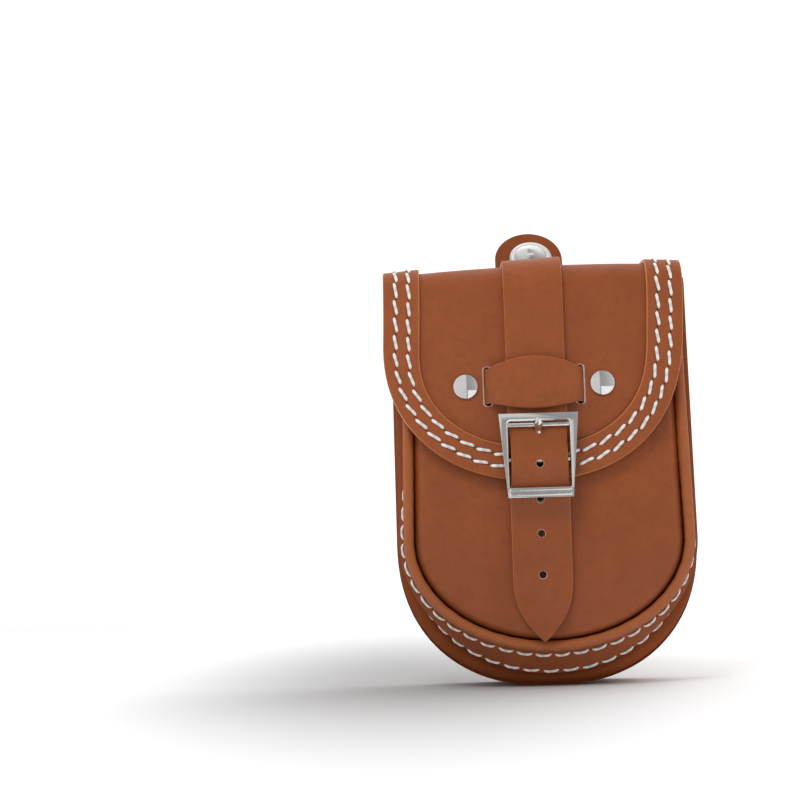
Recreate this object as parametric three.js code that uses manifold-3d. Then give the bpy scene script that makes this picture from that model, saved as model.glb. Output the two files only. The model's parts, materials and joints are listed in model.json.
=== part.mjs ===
// A small leather motorcycle tank bag: a round-bottomed pouch with a stitched flap, a billet strap
// with a centre-bar buckle, and a snap tab behind its top edge.
// Millimetres. +Z is up, the front faces -Y, and the bag stands on z = 0.

import * as THREE from 'three';
import { mergeVertices } from 'three/addons/utils/BufferGeometryUtils.js';
import Module from 'manifold-3d';

const wasm = await Module();
wasm.setup();

// ---------------------------------------------------------------- driving dimensions

const LEATHER = 3.0;
const GAP = 0.3;

const BODY = {
  centreZ: 73.5, // where the straight sides meet the round bottom
  topZ: 205, // upper ends of the gussets
  frontY: -33, // plane through the bead's crest, at floor level
  lean: 0.0875, // how far that plane goes back for each mm of height
  backY: 30, // outer face of the back panel
  backTopZ: 201.5,
};

const PANEL = {
  half: 67,
  drop: 49.9,
  topZ: 200,
  crown: 3.4, // fullness of the middle, which dies out under the flap
  flatZ: 148,
  fullZ: 103,
  proud: 0.2,
  sunk: 0.5, // how far its flat upper part lies behind the crest plane
  valley: 6.4,
  shoulder: 0.16,
};

const FLAP = {
  shiftX: -5.3, // the flap and the keeper sit to one side of the body's middle
  half: 75,
  drop: 71, // height of the curved lower edge
  square: 2.2,
  bottomZ: 102.6,
  bottomDepth: -7.2, // outer face, measured from the crest plane
  topZ: 212.4,
  lean: THREE.MathUtils.degToRad(3.5),
  frontRadius: 15,
  backRadius: 11,
  backLength: 30,
  frontCrown: 3.9,
  topCrown: 2.5,
};

const BORDER = { width: 17.2, thickness: 2.0 };
const STRAP = {
  shiftX: -4.3,
  half: 14.8,
  thickness: 2.8,
  tipZ: 23.1,
  taperZ: 54.7,
  taperPower: 2.4,
  holeRadius: 1.9,
  holesZ: [110.7, 94.1, 75.6, 55.9],
};
const KEEPER = {
  z: 150.3,
  thickness: 2.4,
  endHalf: 8.7,
  archHalf: 13.2,
  bandHalf: 21.5, // half length of the part in front of the flap
  slitX: 23.2,
  slitWidth: 4,
  slitLength: 20.6,
};
const RIVET = {
  x: 34.2,
  z: 150.5,
  radius: 6.2,
  height: 2,
  rim: 0.5,
  shank: 1.8,
  hole: 2.4,
  head: 4.5,
  headHeight: 0.8,
};
const BUCKLE = {
  topZ: 135,
  bottomZ: 93.3,
  topHalf: 19.7,
  bottomHalf: 16.5,
  windowHalf: 15.25,
  windowTopZ: 131.1,
  windowBottomZ: 97.9,
  rear: 7.2,
  front: 10.6,
  barZ: 112.4,
  barLift: 5.1,
  barRadius: 1.1,
  rodZ: 129.6,
  rodLift: 7.0,
  rodRadius: 1.25,
  prongRadius: 1.4,
};
const CHAPE = { half: 13, thickness: 1.2, slotHalf: 2.1 };
const TAB = {
  shiftX: -1.6,
  half: 17.5,
  thickness: 3,
  footZ: 179.5,
  straight: 24.5,
  bendRadius: 18,
  bend: THREE.MathUtils.degToRad(33),
  reach: 12,
};
const SNAP = {
  capRadius: 11,
  capHeight: 3.2,
  shank: 2.2,
  socketRadius: 7,
  socketHeight: 4,
  socketBore: 3.6,
};

// ---------------------------------------------------------------- materials

const leather = (colour) => new THREE.MeshStandardMaterial({ color: colour, roughness: 0.5, metalness: 0 });
const metal = (colour) => new THREE.MeshStandardMaterial({ color: colour, roughness: 0.12, metalness: 1 });

const COLOURS = {
  panel: 0x9a5330,
  gusset: 0x864424,
  flap: 0x9c5632,
  border: 0xa05a34,
  strap: 0x9a5431,
  nickel: 0xd6d4d0,
};

// ---------------------------------------------------------------- solids from rows of points

const { clamp, lerp } = THREE.MathUtils;

// Each row holds two lists of points of the same length, one on each face of the leather.
// Neighbouring rows are joined, and the edges and both ends are closed.
function shell(rows) {
  const across = rows[0].outer.length;
  const points = rows.flatMap((row) => [...row.outer, ...row.inner]);
  const outer = (row, i) => row * 2 * across + i;
  const inner = (row, i) => outer(row, i) + across;
  const index = [];
  const quad = (a, b, c, d) => index.push(a, b, c, a, c, d);
  for (let row = 0; row < rows.length - 1; row += 1) {
    for (let i = 0; i < across - 1; i += 1) {
      quad(outer(row, i), outer(row, i + 1), outer(row + 1, i + 1), outer(row + 1, i));
      quad(inner(row, i + 1), inner(row, i), inner(row + 1, i), inner(row + 1, i + 1));
    }
    quad(inner(row, 0), outer(row, 0), outer(row + 1, 0), inner(row + 1, 0));
    const end = across - 1;
    quad(outer(row, end), inner(row, end), inner(row + 1, end), outer(row + 1, end));
  }
  const last = rows.length - 1;
  for (let i = 0; i < across - 1; i += 1) {
    quad(inner(0, i), inner(0, i + 1), outer(0, i + 1), outer(0, i));
    quad(outer(last, i), outer(last, i + 1), inner(last, i + 1), inner(last, i));
  }
  const geometry = new THREE.BufferGeometry().setFromPoints(points);
  geometry.setIndex(index);
  return facingOut(geometry);
}

// Turns a closed surface the right way round.
function facingOut(geometry) {
  const position = geometry.attributes.position;
  const index = geometry.index;
  const corner = [0, 1, 2].map(() => new THREE.Vector3());
  let volume = 0;
  for (let i = 0; i < index.count; i += 3) {
    corner.forEach((point, k) => point.fromBufferAttribute(position, index.getX(i + k)));
    volume += corner[0].dot(corner[1].cross(corner[2]));
  }
  if (volume < 0) index.array.reverse();
  return geometry;
}

function toSolid(geometry) {
  const bare = geometry.clone();
  const spare = Object.keys(bare.attributes).filter((name) => name !== 'position');
  spare.forEach((name) => bare.deleteAttribute(name));
  const merged = mergeVertices(bare, 1e-4);
  const vertProperties = new Float32Array(merged.attributes.position.array);
  const triVerts = new Uint32Array(merged.index.array);
  return new wasm.Manifold(new wasm.Mesh({ numProp: 3, vertProperties, triVerts }));
}

function toGeometry(solid) {
  const mesh = solid.getMesh();
  const geometry = new THREE.BufferGeometry();
  geometry.setAttribute('position', new THREE.BufferAttribute(new Float32Array(mesh.vertProperties), 3));
  geometry.setIndex(new THREE.BufferAttribute(new Uint32Array(mesh.triVerts), 1));
  return geometry;
}

const cut = (geometry, ...tools) => (
  toGeometry(tools.reduce((solid, tool) => solid.subtract(toSolid(tool)), toSolid(geometry)))
);
const join = (...pieces) => toGeometry(pieces.map(toSolid).reduce((whole, piece) => whole.add(piece)));

function piece(name, geometry, material) {
  const mesh = new THREE.Mesh(geometry, material);
  mesh.name = name;
  return mesh;
}

// ---------------------------------------------------------------- the body's rings

const crestPlane = (z) => BODY.frontY + BODY.lean * z;

// Stations run down the left side, round the bottom and up the right side.
function stations(topZ) {
  const sideSteps = 6;
  const roundSteps = 26;
  const list = [];
  const rise = topZ - BODY.centreZ;
  for (let i = sideSteps; i > 0; i -= 1) list.push({ across: -1, down: 0, rise: (rise * i) / sideSteps });
  for (let i = 0; i <= roundSteps; i += 1) {
    const angle = (Math.PI * i) / roundSteps;
    list.push({ across: -Math.cos(angle), down: Math.max(0, Math.sin(angle)), rise: 0 });
  }
  for (let i = 1; i <= sideSteps; i += 1) list.push({ across: 1, down: 0, rise: (rise * i) / sideSteps });
  return list;
}

// A ring's half width and its depth behind the crest plane on the sides, and the same at the bottom,
// where drop is its distance below the centre. square above 2 makes the round corners fuller.
function ringPoint(ring, station, floor) {
  const power = 2 / ring.square;
  const across = Math.sign(station.across) * Math.abs(station.across) ** power;
  const down = station.down ** power;
  const x = across * (ring.half - ring.taper * station.rise);
  const z = Math.max(floor, BODY.centreZ + station.rise - ring.drop * down);
  const depth = lerp(ring.sideDepth, ring.lowDepth, down);
  const y = ring.atBack ? BODY.backY - LEATHER - GAP : crestPlane(z) + depth;
  return new THREE.Vector3(x, y, z);
}

// Rings moved square to the line that they make, seen in section at the side and at the bottom.
function offsetRings(rings, distance) {
  return rings.map((ring, i) => {
    const before = rings[Math.max(0, i - 1)];
    const after = rings[Math.min(rings.length - 1, i + 1)];
    const side = new THREE.Vector2(after.sideDepth - before.sideDepth, after.half - before.half);
    const low = new THREE.Vector2(after.lowDepth - before.lowDepth, after.drop - before.drop);
    side.normalize();
    low.normalize();
    return {
      ...ring,
      sideDepth: ring.sideDepth - side.y * distance,
      half: ring.half + side.x * distance,
      lowDepth: ring.lowDepth - low.y * distance,
      drop: ring.drop + low.x * distance,
    };
  });
}

// The bead: leather turned over at the front, a round in section.
const BEAD = {
  radius: 2.7,
  depth: 2.9,
  half: 70.2,
  drop: 53.1,
  square: 2.0,
  taper: 0.018,
  steps: 7,
  start: -0.6,
};

function beadRings() {
  return Array.from({ length: BEAD.steps }, (_, i) => {
    const angle = lerp(BEAD.start, Math.PI * 0.94, i / (BEAD.steps - 1));
    const outward = -BEAD.radius * Math.cos(angle);
    const depth = BEAD.depth - BEAD.radius * Math.sin(angle);
    return {
      sideDepth: depth,
      lowDepth: depth,
      half: BEAD.half + outward,
      drop: BEAD.drop + outward,
      square: BEAD.square,
      taper: BEAD.taper,
    };
  });
}

// The outer face of the front gusset strip, from the bead to its cut edge.
const SKIN = [
  { sideDepth: 3.4, half: 72.8, lowDepth: 3.2, drop: 55.9, square: 2.01, taper: 0.015 },
  { sideDepth: 6.5, half: 73.1, lowDepth: 5.2, drop: 57.6, square: 2.02, taper: 0.012 },
  { sideDepth: 10, half: 73.9, lowDepth: 7.6, drop: 59.6, square: 2.03, taper: 0.008 },
  { sideDepth: 13, half: 74.7, lowDepth: 9.8, drop: 61.7, square: 2.05, taper: 0.004 },
  { sideDepth: 17, half: 75.5, lowDepth: 13.5, drop: 65.2, square: 2.12, taper: 0 },
];
// The outer face of the rear strip, from that edge to the back panel.
const REAR = [
  { sideDepth: 19.8, half: 74.2, lowDepth: 17.5, drop: 65.6, square: 2.15, taper: 0 },
  { sideDepth: 23, half: 75.8, lowDepth: 20.5, drop: 69.2, square: 2.25, taper: 0 },
  { sideDepth: 28, half: 76.4, lowDepth: 24.5, drop: 72.2, square: 2.28, taper: 0 },
  { sideDepth: 34, half: 76.5, lowDepth: 30, drop: 74.2, square: 2.28, taper: 0 },
  { sideDepth: 60, half: 76.4, lowDepth: 60, drop: 74.2, square: 2.28, taper: 0, atBack: true },
];
const LAP = 3; // row of the front strip under which the rear one begins

function gussetFront() {
  const inside = offsetRings(SKIN, -LEATHER);
  const head = beadRings();
  const root = {
    ...inside[0],
    half: inside[0].half - 1.9,
    drop: inside[0].drop - 1.7,
    sideDepth: 7.4,
    lowDepth: 7.2,
  };
  const mixed = (a, b, t) => ({
    ...a,
    half: lerp(a.half, b.half, t),
    drop: lerp(a.drop, b.drop, t),
    sideDepth: lerp(a.sideDepth, b.sideDepth, t),
    lowDepth: lerp(a.lowDepth, b.lowDepth, t),
  });
  const innerStart = {
    ...inside[0],
    sideDepth: inside[0].sideDepth + 4.2,
    lowDepth: inside[0].lowDepth + 2.6,
  };
  const outerRings = [...head, ...SKIN.slice(1)];
  const innerRings = [...head.map((_, i) => mixed(root, innerStart, i / head.length)), ...inside.slice(1)];
  innerRings[head.length] = mixed(innerStart, inside[2], 0.45);
  const rows = stations(BODY.topZ).map((station) => ({
    outer: outerRings.map((ring) => ringPoint(ring, station, 0)),
    inner: innerRings.map((ring) => ringPoint(ring, station, 0)),
  }));
  return piece('gusset_front', shell(rows), leather(COLOURS.border));
}

// It begins under the front strip, comes out from behind its cut edge and swells to the full width.
function gussetRear() {
  const hidden = offsetRings(SKIN, -LEATHER - GAP).slice(LAP);
  const outside = [...hidden, ...REAR];
  const inside = offsetRings(outside, -LEATHER);
  const rows = stations(BODY.topZ).map((station) => ({
    outer: outside.map((ring) => ringPoint(ring, station, 0)),
    inner: inside.map((ring) => ringPoint(ring, station, LEATHER)),
  }));
  return piece('gusset_rear', shell(rows), leather(COLOURS.gusset));
}

// The outline of the back panel is the rear gusset's outer ring.
function backPanel() {
  const ring = REAR.at(-1);
  const outline = stations(BODY.backTopZ).map((station) => {
    const point = ringPoint(ring, station, 0);
    return new THREE.Vector2(point.x, point.z);
  });
  const shape = new THREE.Shape(outline);
  const geometry = new THREE.ExtrudeGeometry(shape, { depth: LEATHER, bevelEnabled: false });
  geometry.rotateX(Math.PI / 2);
  geometry.translate(0, BODY.backY, 0);
  return piece('back_panel', geometry, leather(COLOURS.gusset));
}

// ---------------------------------------------------------------- the front panel

// 0 in the middle of the panel and 1 at its edge.
function panelReach(x, z) {
  const below = Math.max(0, BODY.centreZ - z) / PANEL.drop;
  const half = PANEL.half - BEAD.taper * Math.max(0, z - BODY.centreZ);
  return Math.hypot(x / half, below);
}

// The panel's outer face, measured from the crest plane: a soft crown that rolls into the groove.
function panelDepth(x, z) {
  const reach = panelReach(x, z);
  const roll = clamp((reach - 1 + PANEL.shoulder) / PANEL.shoulder, 0, 1);
  const upper = clamp((PANEL.flatZ - z) / (PANEL.flatZ - PANEL.fullZ), 0, 1);
  const middle = lerp(PANEL.sunk, -PANEL.proud - PANEL.crown * (1 - reach ** 2), upper);
  return lerp(middle, PANEL.valley, roll ** 2.3);
}

function frontPanel() {
  const roundRows = 11;
  const sideRows = 7;
  const columns = 16;
  const lowest = 0.994;
  const inset = 2.6;
  const rowHeights = [];
  for (let i = roundRows; i > 0; i -= 1) rowHeights.push(-Math.sin((Math.asin(lowest) * i) / roundRows));
  for (let i = 0; i <= sideRows; i += 1) rowHeights.push(i / sideRows);
  const rows = rowHeights.map((height) => {
    const face = (behind) => Array.from({ length: columns + 1 }, (_, i) => {
      const share = Math.sin((Math.PI / 2) * ((2 * i) / columns - 1));
      const rise = height > 0 ? height * (PANEL.topZ - BODY.centreZ) : height * PANEL.drop;
      const rounded = Math.sqrt(1 - Math.min(0, height) ** 2);
      const x = share * (PANEL.half - BEAD.taper * Math.max(0, rise)) * rounded;
      const depth = panelDepth(x, BODY.centreZ + rise);
      const shrink = behind ? (PANEL.half - inset) / PANEL.half : 1;
      const z = BODY.centreZ + (height > 0 ? rise : rise * ((PANEL.drop - behind * inset) / PANEL.drop));
      return new THREE.Vector3(x * shrink, crestPlane(z) + depth + behind * LEATHER, z);
    });
    return { outer: face(0), inner: face(1) };
  });
  return piece('front_panel', shell(rows), leather(COLOURS.panel));
}

// ---------------------------------------------------------------- folded leather

// A line seen from the side, laid out along its length from straight legs and round turns.
// It starts upwards and turns backwards. up and lift are its two axes, and lift points to the front.
class FoldedLine {
  constructor(legs) {
    let length = 0;
    let up = 0;
    let lift = 0;
    let heading = 0;
    this.legs = legs.map((leg) => {
      const turn = leg.turn ?? 0;
      const size = leg.radius ? leg.radius * turn : leg.length;
      const start = { length, up, lift, heading, radius: leg.radius, size };
      if (leg.radius) {
        up += leg.radius * (Math.sin(heading + turn) - Math.sin(heading));
        lift += leg.radius * (Math.cos(heading + turn) - Math.cos(heading));
        heading += turn;
      } else {
        up += leg.length * Math.cos(heading);
        lift -= leg.length * Math.sin(heading);
      }
      length += start.size;
      return start;
    });
    this.length = length;
  }

  at(distance) {
    const leg = this.legs.findLast((candidate) => distance >= candidate.length) ?? this.legs[0];
    const along = distance - leg.length;
    if (!leg.radius) {
      return {
        heading: leg.heading,
        up: leg.up + along * Math.cos(leg.heading),
        lift: leg.lift - along * Math.sin(leg.heading),
      };
    }
    const heading = leg.heading + along / leg.radius;
    return {
      heading,
      up: leg.up + leg.radius * (Math.sin(heading) - Math.sin(leg.heading)),
      lift: leg.lift + leg.radius * (Math.cos(heading) - Math.cos(leg.heading)),
    };
  }

  // Distances for rows: a few on each straight leg and more round each turn.
  steps(straightSteps, turnSteps, from = 0) {
    const list = [];
    this.legs.forEach((leg) => {
      const count = leg.radius ? turnSteps : straightSteps;
      for (let i = 0; i < count; i += 1) list.push(leg.length + (leg.size * i) / count);
    });
    list.push(this.length);
    return list.filter((distance) => distance >= from);
  }
}

// A point at x across the leather, raised above the line.
function onFold(line, x, distance, lift) {
  const spot = line.at(distance);
  const up = spot.up + Math.sin(spot.heading) * lift;
  return new THREE.Vector3(x, up, spot.lift + Math.cos(spot.heading) * lift);
}

// ---------------------------------------------------------------- the flap

const flapOrigin = { y: crestPlane(FLAP.bottomZ) + FLAP.bottomDepth, z: FLAP.bottomZ };

// Heights above the floor, turned into distances up the flap's front.
const upFlap = (z) => (z - flapOrigin.z) / Math.cos(FLAP.lean);

function flapFold() {
  const quarter = Math.PI / 2;
  const firstTurn = quarter - FLAP.lean;
  const rise = FLAP.topZ - FLAP.bottomZ - FLAP.frontRadius * (1 - Math.sin(FLAP.lean));
  const frontLength = rise / Math.cos(FLAP.lean);
  const turnY = flapOrigin.y + frontLength * Math.sin(FLAP.lean) + FLAP.frontRadius * Math.cos(FLAP.lean);
  const rearY = BODY.backY + GAP + LEATHER;
  return new FoldedLine([
    { length: frontLength },
    { radius: FLAP.frontRadius, turn: firstTurn },
    { length: rearY - FLAP.backRadius - turnY },
    { radius: FLAP.backRadius, turn: quarter },
    { length: FLAP.backLength },
  ]);
}

const flapLine = flapFold();
const frontEnd = flapLine.legs[1].length;
const backStart = flapLine.legs[4].length;

// How far the flap's side edges fall back from its middle: most on the front, none on the back.
function flapCrown(distance) {
  if (distance <= frontEnd) return FLAP.frontCrown;
  const past = (distance - frontEnd) / (backStart - frontEnd);
  if (past >= 1) return 0;
  const forward = 0.4;
  if (past < forward) return lerp(FLAP.frontCrown, FLAP.topCrown, past / forward);
  return lerp(FLAP.topCrown, 0, (past - forward) / (1 - forward));
}

function onFlap(x, distance, lift) {
  return onFold(flapLine, x, distance, lift - flapCrown(distance) * (x / FLAP.half) ** 2);
}

function flapHalf(distance) {
  const missing = clamp((FLAP.drop - distance) / FLAP.drop, 0, 1);
  return FLAP.half * (1 - missing ** FLAP.square) ** (1 / FLAP.square);
}

// Rows close together near the lower edge, where the outline turns.
const roundRows = 10;
const roundDistances = Array.from({ length: roundRows }, (_, i) => (
  FLAP.drop * (1 - Math.cos((Math.PI / 2) * ((i + 0.75) / roundRows)))
));
const upperDistances = flapLine.steps(4, 7, FLAP.drop + 1);

function slit(side) {
  const straight = KEEPER.slitLength - KEEPER.slitWidth;
  const outline = new THREE.Shape();
  const radius = KEEPER.slitWidth / 2;
  outline.absarc(0, straight / 2, radius, 0, Math.PI);
  outline.absarc(0, -straight / 2, radius, Math.PI, 2 * Math.PI);
  const options = { depth: 4 * LEATHER, bevelEnabled: false, curveSegments: 6 };
  const geometry = new THREE.ExtrudeGeometry(outline, options);
  return geometry.translate(side * KEEPER.slitX, upFlap(KEEPER.z), -3 * LEATHER);
}

function rivetHole(side) {
  const geometry = new THREE.CylinderGeometry(RIVET.hole, RIVET.hole, 6 * LEATHER, 12);
  return geometry.rotateX(Math.PI / 2).translate(side * RIVET.x, upFlap(RIVET.z), -LEATHER);
}

function flap() {
  const columns = 14;
  const distances = [...roundDistances, FLAP.drop, ...upperDistances];
  const rows = distances.map((distance) => {
    const half = flapHalf(distance);
    const face = (lift) => Array.from({ length: columns + 1 }, (_, i) => (
      onFlap(half * ((2 * i) / columns - 1), distance, lift)
    ));
    return { outer: face(0), inner: face(-LEATHER) };
  });
  const tools = [slit(-1), slit(1), rivetHole(-1), rivetHole(1)];
  return piece('flap', cut(shell(rows), ...tools), leather(COLOURS.flap));
}

// The second layer along the flap's edge, from the back over the top, round the front and back again.
function flapBorder() {
  const edge = (distance) => ({ x: flapHalf(distance), distance });
  const right = [...roundDistances, FLAP.drop, ...upperDistances].map(edge);
  const left = right.map((spot) => ({ x: -spot.x, distance: spot.distance })).reverse();
  const outline = [...left, ...right];
  const rows = outline.map((spot, i) => {
    const before = outline[Math.max(0, i - 1)];
    const after = outline[Math.min(outline.length - 1, i + 1)];
    const along = new THREE.Vector2(after.x - before.x, after.distance - before.distance).normalize();
    const face = (lift) => [0, 0.5, 1].map((share) => {
      const inward = share * BORDER.width;
      return onFlap(spot.x - along.y * inward, spot.distance + along.x * inward, lift);
    });
    return { outer: face(GAP + BORDER.thickness), inner: face(GAP) };
  });
  return piece('flap_border', shell(rows), leather(COLOURS.border));
}

// ---------------------------------------------------------------- straps

// Where a depth behind the crest plane lies above the flap's line, straight on downwards.
function liftOf(z, depth) {
  const y = crestPlane(z) + depth;
  return (flapOrigin.y - y) * Math.cos(FLAP.lean) + (z - flapOrigin.z) * Math.sin(FLAP.lean);
}

const onPanel = (z, above) => liftOf(z, panelDepth(0, z) - above);

// A flat strip that follows points seen from the side, its under face on them.
function strip(points, thickness, halfAt) {
  const rows = points.map((point, i) => {
    const before = points[Math.max(0, i - 1)];
    const after = points[Math.min(points.length - 1, i + 1)];
    const along = new THREE.Vector2(after.up - before.up, after.lift - before.lift).normalize();
    const half = halfAt(point, i);
    const face = (height) => [-half, half].map((x) => (
      new THREE.Vector3(x, point.up - along.y * height, point.lift + along.x * height)
    ));
    return { outer: face(thickness), inner: face(0) };
  });
  return shell(rows);
}

function smoothLine(table, count) {
  const points = table.map((row) => new THREE.Vector3(0, upFlap(row.z), row.lift));
  const curve = new THREE.CatmullRomCurve3(points, false, 'centripetal');
  return curve.getPoints(count).map((point) => ({ up: point.y, lift: point.z }));
}

const overChape = GAP + CHAPE.thickness + GAP;

// The under face of the billet strap, from its tip up to where it leaves the keeper.
const STRAP_ROUTE = [
  { z: STRAP.tipZ, lift: liftOf(STRAP.tipZ, -2.2) },
  { z: 36, lift: onPanel(36, 0.8) },
  { z: 50, lift: onPanel(50, GAP) },
  { z: 60, lift: onPanel(60, 0.8) },
  { z: 70, lift: onPanel(70, overChape) },
  { z: 84, lift: onPanel(84, overChape + 0.1) },
  { z: 89, lift: onPanel(89, overChape + 1.2) },
  { z: 93, lift: 1.3 },
  { z: 97, lift: 3.5 },
  { z: 101, lift: 5.5 },
  { z: 106, lift: 7.2 },
  { z: BUCKLE.barZ, lift: 8.0 },
  { z: 119, lift: 6.5 },
  { z: 125, lift: 4.2 },
  { z: BUCKLE.rodZ, lift: 2.6 },
  { z: 134, lift: 1.4 },
  { z: 139, lift: GAP + 0.2 },
  { z: 154, lift: GAP },
  { z: 168, lift: GAP },
];

// The prong, from the centre bar under the strap, up through its hole and on to the rod.
const PRONG_ROUTE = [
  { z: BUCKLE.barZ, lift: BUCKLE.barLift },
  { z: 118.6, lift: 5.5 },
  { z: 124, lift: 6.7 },
  { z: 127, lift: 8.9 },
  { z: 130, lift: 10.4 },
];

function prongRod(radius) {
  const points = PRONG_ROUTE.map((row) => new THREE.Vector3(0, upFlap(row.z), row.lift));
  const route = new THREE.CatmullRomCurve3(points, false, 'centripetal');
  const circle = new THREE.Shape();
  circle.absarc(0, 0, radius, 0, 2 * Math.PI);
  const options = { extrudePath: route, steps: 14, bevelEnabled: false, curveSegments: 10 };
  return new THREE.ExtrudeGeometry(circle, options);
}

const acrossRod = (radius, length, z, lift) => {
  const geometry = new THREE.CylinderGeometry(radius, radius, length, 20);
  return geometry.rotateZ(Math.PI / 2).translate(0, upFlap(z), lift);
};

function strapHole(z) {
  const geometry = new THREE.CylinderGeometry(STRAP.holeRadius, STRAP.holeRadius, 24, 16);
  return geometry.rotateX(Math.PI / 2).translate(0, upFlap(z), 0);
}

function billetStrap() {
  const lower = smoothLine(STRAP_ROUTE, 72);
  const leaves = upFlap(168);
  const upper = flapLine.steps(3, 7, leaves + 5).map((distance) => {
    const spot = onFold(flapLine, 0, distance, GAP);
    return { up: spot.y, lift: spot.z };
  });
  const tip = upFlap(STRAP.tipZ);
  const taper = upFlap(STRAP.taperZ) - tip;
  const halfAt = (point, i) => {
    const share = i > 40 ? 1 : clamp((point.up - tip) / taper, 0, 1);
    return lerp(0.5, STRAP.half, 1 - (1 - share) ** STRAP.taperPower);
  };
  const holes = STRAP.holesZ.map(strapHole);
  const body = strip([...lower, ...upper], STRAP.thickness, halfAt);
  return piece('billet_strap', cut(body, ...holes, prongRod(BUCKLE.prongRadius + 0.35)), leather(COLOURS.strap));
}

// The hidden strap that holds the buckle: round the centre bar, down past the flap, on to the panel.
function buckleChape() {
  const loop = BUCKLE.barRadius + 0.2;
  const rearLift = BUCKLE.barLift - loop;
  const bar = upFlap(BUCKLE.barZ);
  const turn = Array.from({ length: 9 }, (_, i) => {
    const angle = (Math.PI * i) / 8;
    return { up: bar + loop * Math.sin(angle), lift: BUCKLE.barLift + loop * Math.cos(angle) };
  });
  const frontLayer = smoothLine([
    { z: 103.4, lift: rearLift + GAP },
    { z: 105.4, lift: rearLift + GAP + 0.2 },
    { z: 107.9, lift: rearLift + 1.2 },
    { z: 110.4, lift: BUCKLE.barLift + loop - 0.3 },
  ], 8);
  const rearLayer = smoothLine([
    { z: 109, lift: rearLift },
    { z: 100.4, lift: rearLift },
    { z: 96, lift: rearLift - 2.4 },
    { z: 90.4, lift: onPanel(90.4, GAP + CHAPE.thickness + 0.2) },
    { z: 81, lift: onPanel(81, GAP + CHAPE.thickness) },
    { z: 71, lift: onPanel(71, GAP + CHAPE.thickness) },
  ], 18);
  const body = strip([...frontLayer, ...turn, ...rearLayer], CHAPE.thickness, () => CHAPE.half);
  const slot = new THREE.BoxGeometry(2 * CHAPE.slotHalf, 13, 12).translate(0, bar + 1.5, BUCKLE.barLift);
  return piece('buckle_chape', cut(body, slot), leather(COLOURS.strap));
}

// ---------------------------------------------------------------- the keeper and its rivets

function strapKeeper() {
  const sag = (x) => FLAP.frontCrown * (x / FLAP.half) ** 2;
  const behind = -LEATHER - GAP - KEEPER.thickness;
  const over = GAP + STRAP.thickness + GAP + 0.2;
  const half = [
    { x: 0, lift: over + 0.7 },
    { x: 9, lift: over + 0.6 },
    { x: 15.6, lift: over },
    { x: 19.6, lift: over - 1.7 },
    { x: 22, lift: -0.6 },
    { x: 22.3, lift: -3.6 },
    { x: 22.9, lift: -5.4 },
    { x: 24.3, lift: behind - sag(24.3) - 0.4 },
    { x: 27, lift: behind - sag(27) },
    { x: 34, lift: behind - sag(34) },
    { x: 42, lift: behind - sag(42) },
  ];
  const mirrored = half.slice(1).map((row) => ({ x: -row.x, lift: row.lift })).reverse();
  const bends = [...mirrored, ...half].map((row) => new THREE.Vector3(row.x, 0, row.lift));
  const points = new THREE.CatmullRomCurve3(bends, false, 'centripetal').getPoints(56);
  const arch = (x) => Math.cos((Math.PI / 2) * Math.min(1, Math.abs(x) / KEEPER.bandHalf)) ** 0.85;
  const rows = points.map((point, i) => {
    const before = points[Math.max(0, i - 1)];
    const after = points[Math.min(points.length - 1, i + 1)];
    const along = new THREE.Vector2(after.x - before.x, after.z - before.z).normalize();
    const height = lerp(KEEPER.endHalf, KEEPER.archHalf, arch(point.x));
    const middle = upFlap(KEEPER.z) + (height - KEEPER.endHalf) * 0.2;
    const face = (thick) => [-height, height].map((up) => (
      new THREE.Vector3(point.x - along.y * thick, middle + up, point.z + along.x * thick)
    ));
    return { outer: face(KEEPER.thickness), inner: face(0) };
  });
  return piece('strap_keeper', cut(shell(rows), rivetHole(-1), rivetHole(1)), leather(COLOURS.strap));
}

function turned(profile, segments) {
  const points = profile.map(([radius, height]) => new THREE.Vector2(radius, height));
  return new THREE.LatheGeometry(points, segments).rotateX(Math.PI / 2);
}

// One solid: a low dome in front, a shank through flap and keeper, and a flat head behind them.
function rivet(name, side) {
  const { radius, height, rim, shank, head, headHeight } = RIVET;
  const behind = -LEATHER - GAP - KEEPER.thickness - GAP;
  const dome = Array.from({ length: 6 }, (_, i) => {
    const angle = (Math.PI / 2) * (i / 5);
    return [radius * Math.cos(angle), GAP + rim + (height - rim) * Math.sin(angle)];
  });
  const foot = behind - headHeight;
  const stem = [[0, foot], [head, foot], [head, behind], [shank, behind], [shank, GAP], [radius, GAP]];
  const profile = [...stem, ...dome];
  profile[profile.length - 1][0] = 0;
  const mesh = piece(name, turned(profile, 28), metal(COLOURS.nickel));
  const x = side * RIVET.x;
  mesh.position.set(x, upFlap(RIVET.z), -FLAP.frontCrown * (x / FLAP.half) ** 2);
  mesh.rotation.y = Math.atan((2 * FLAP.frontCrown * x) / FLAP.half ** 2);
  return mesh;
}

// ---------------------------------------------------------------- the buckle

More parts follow.
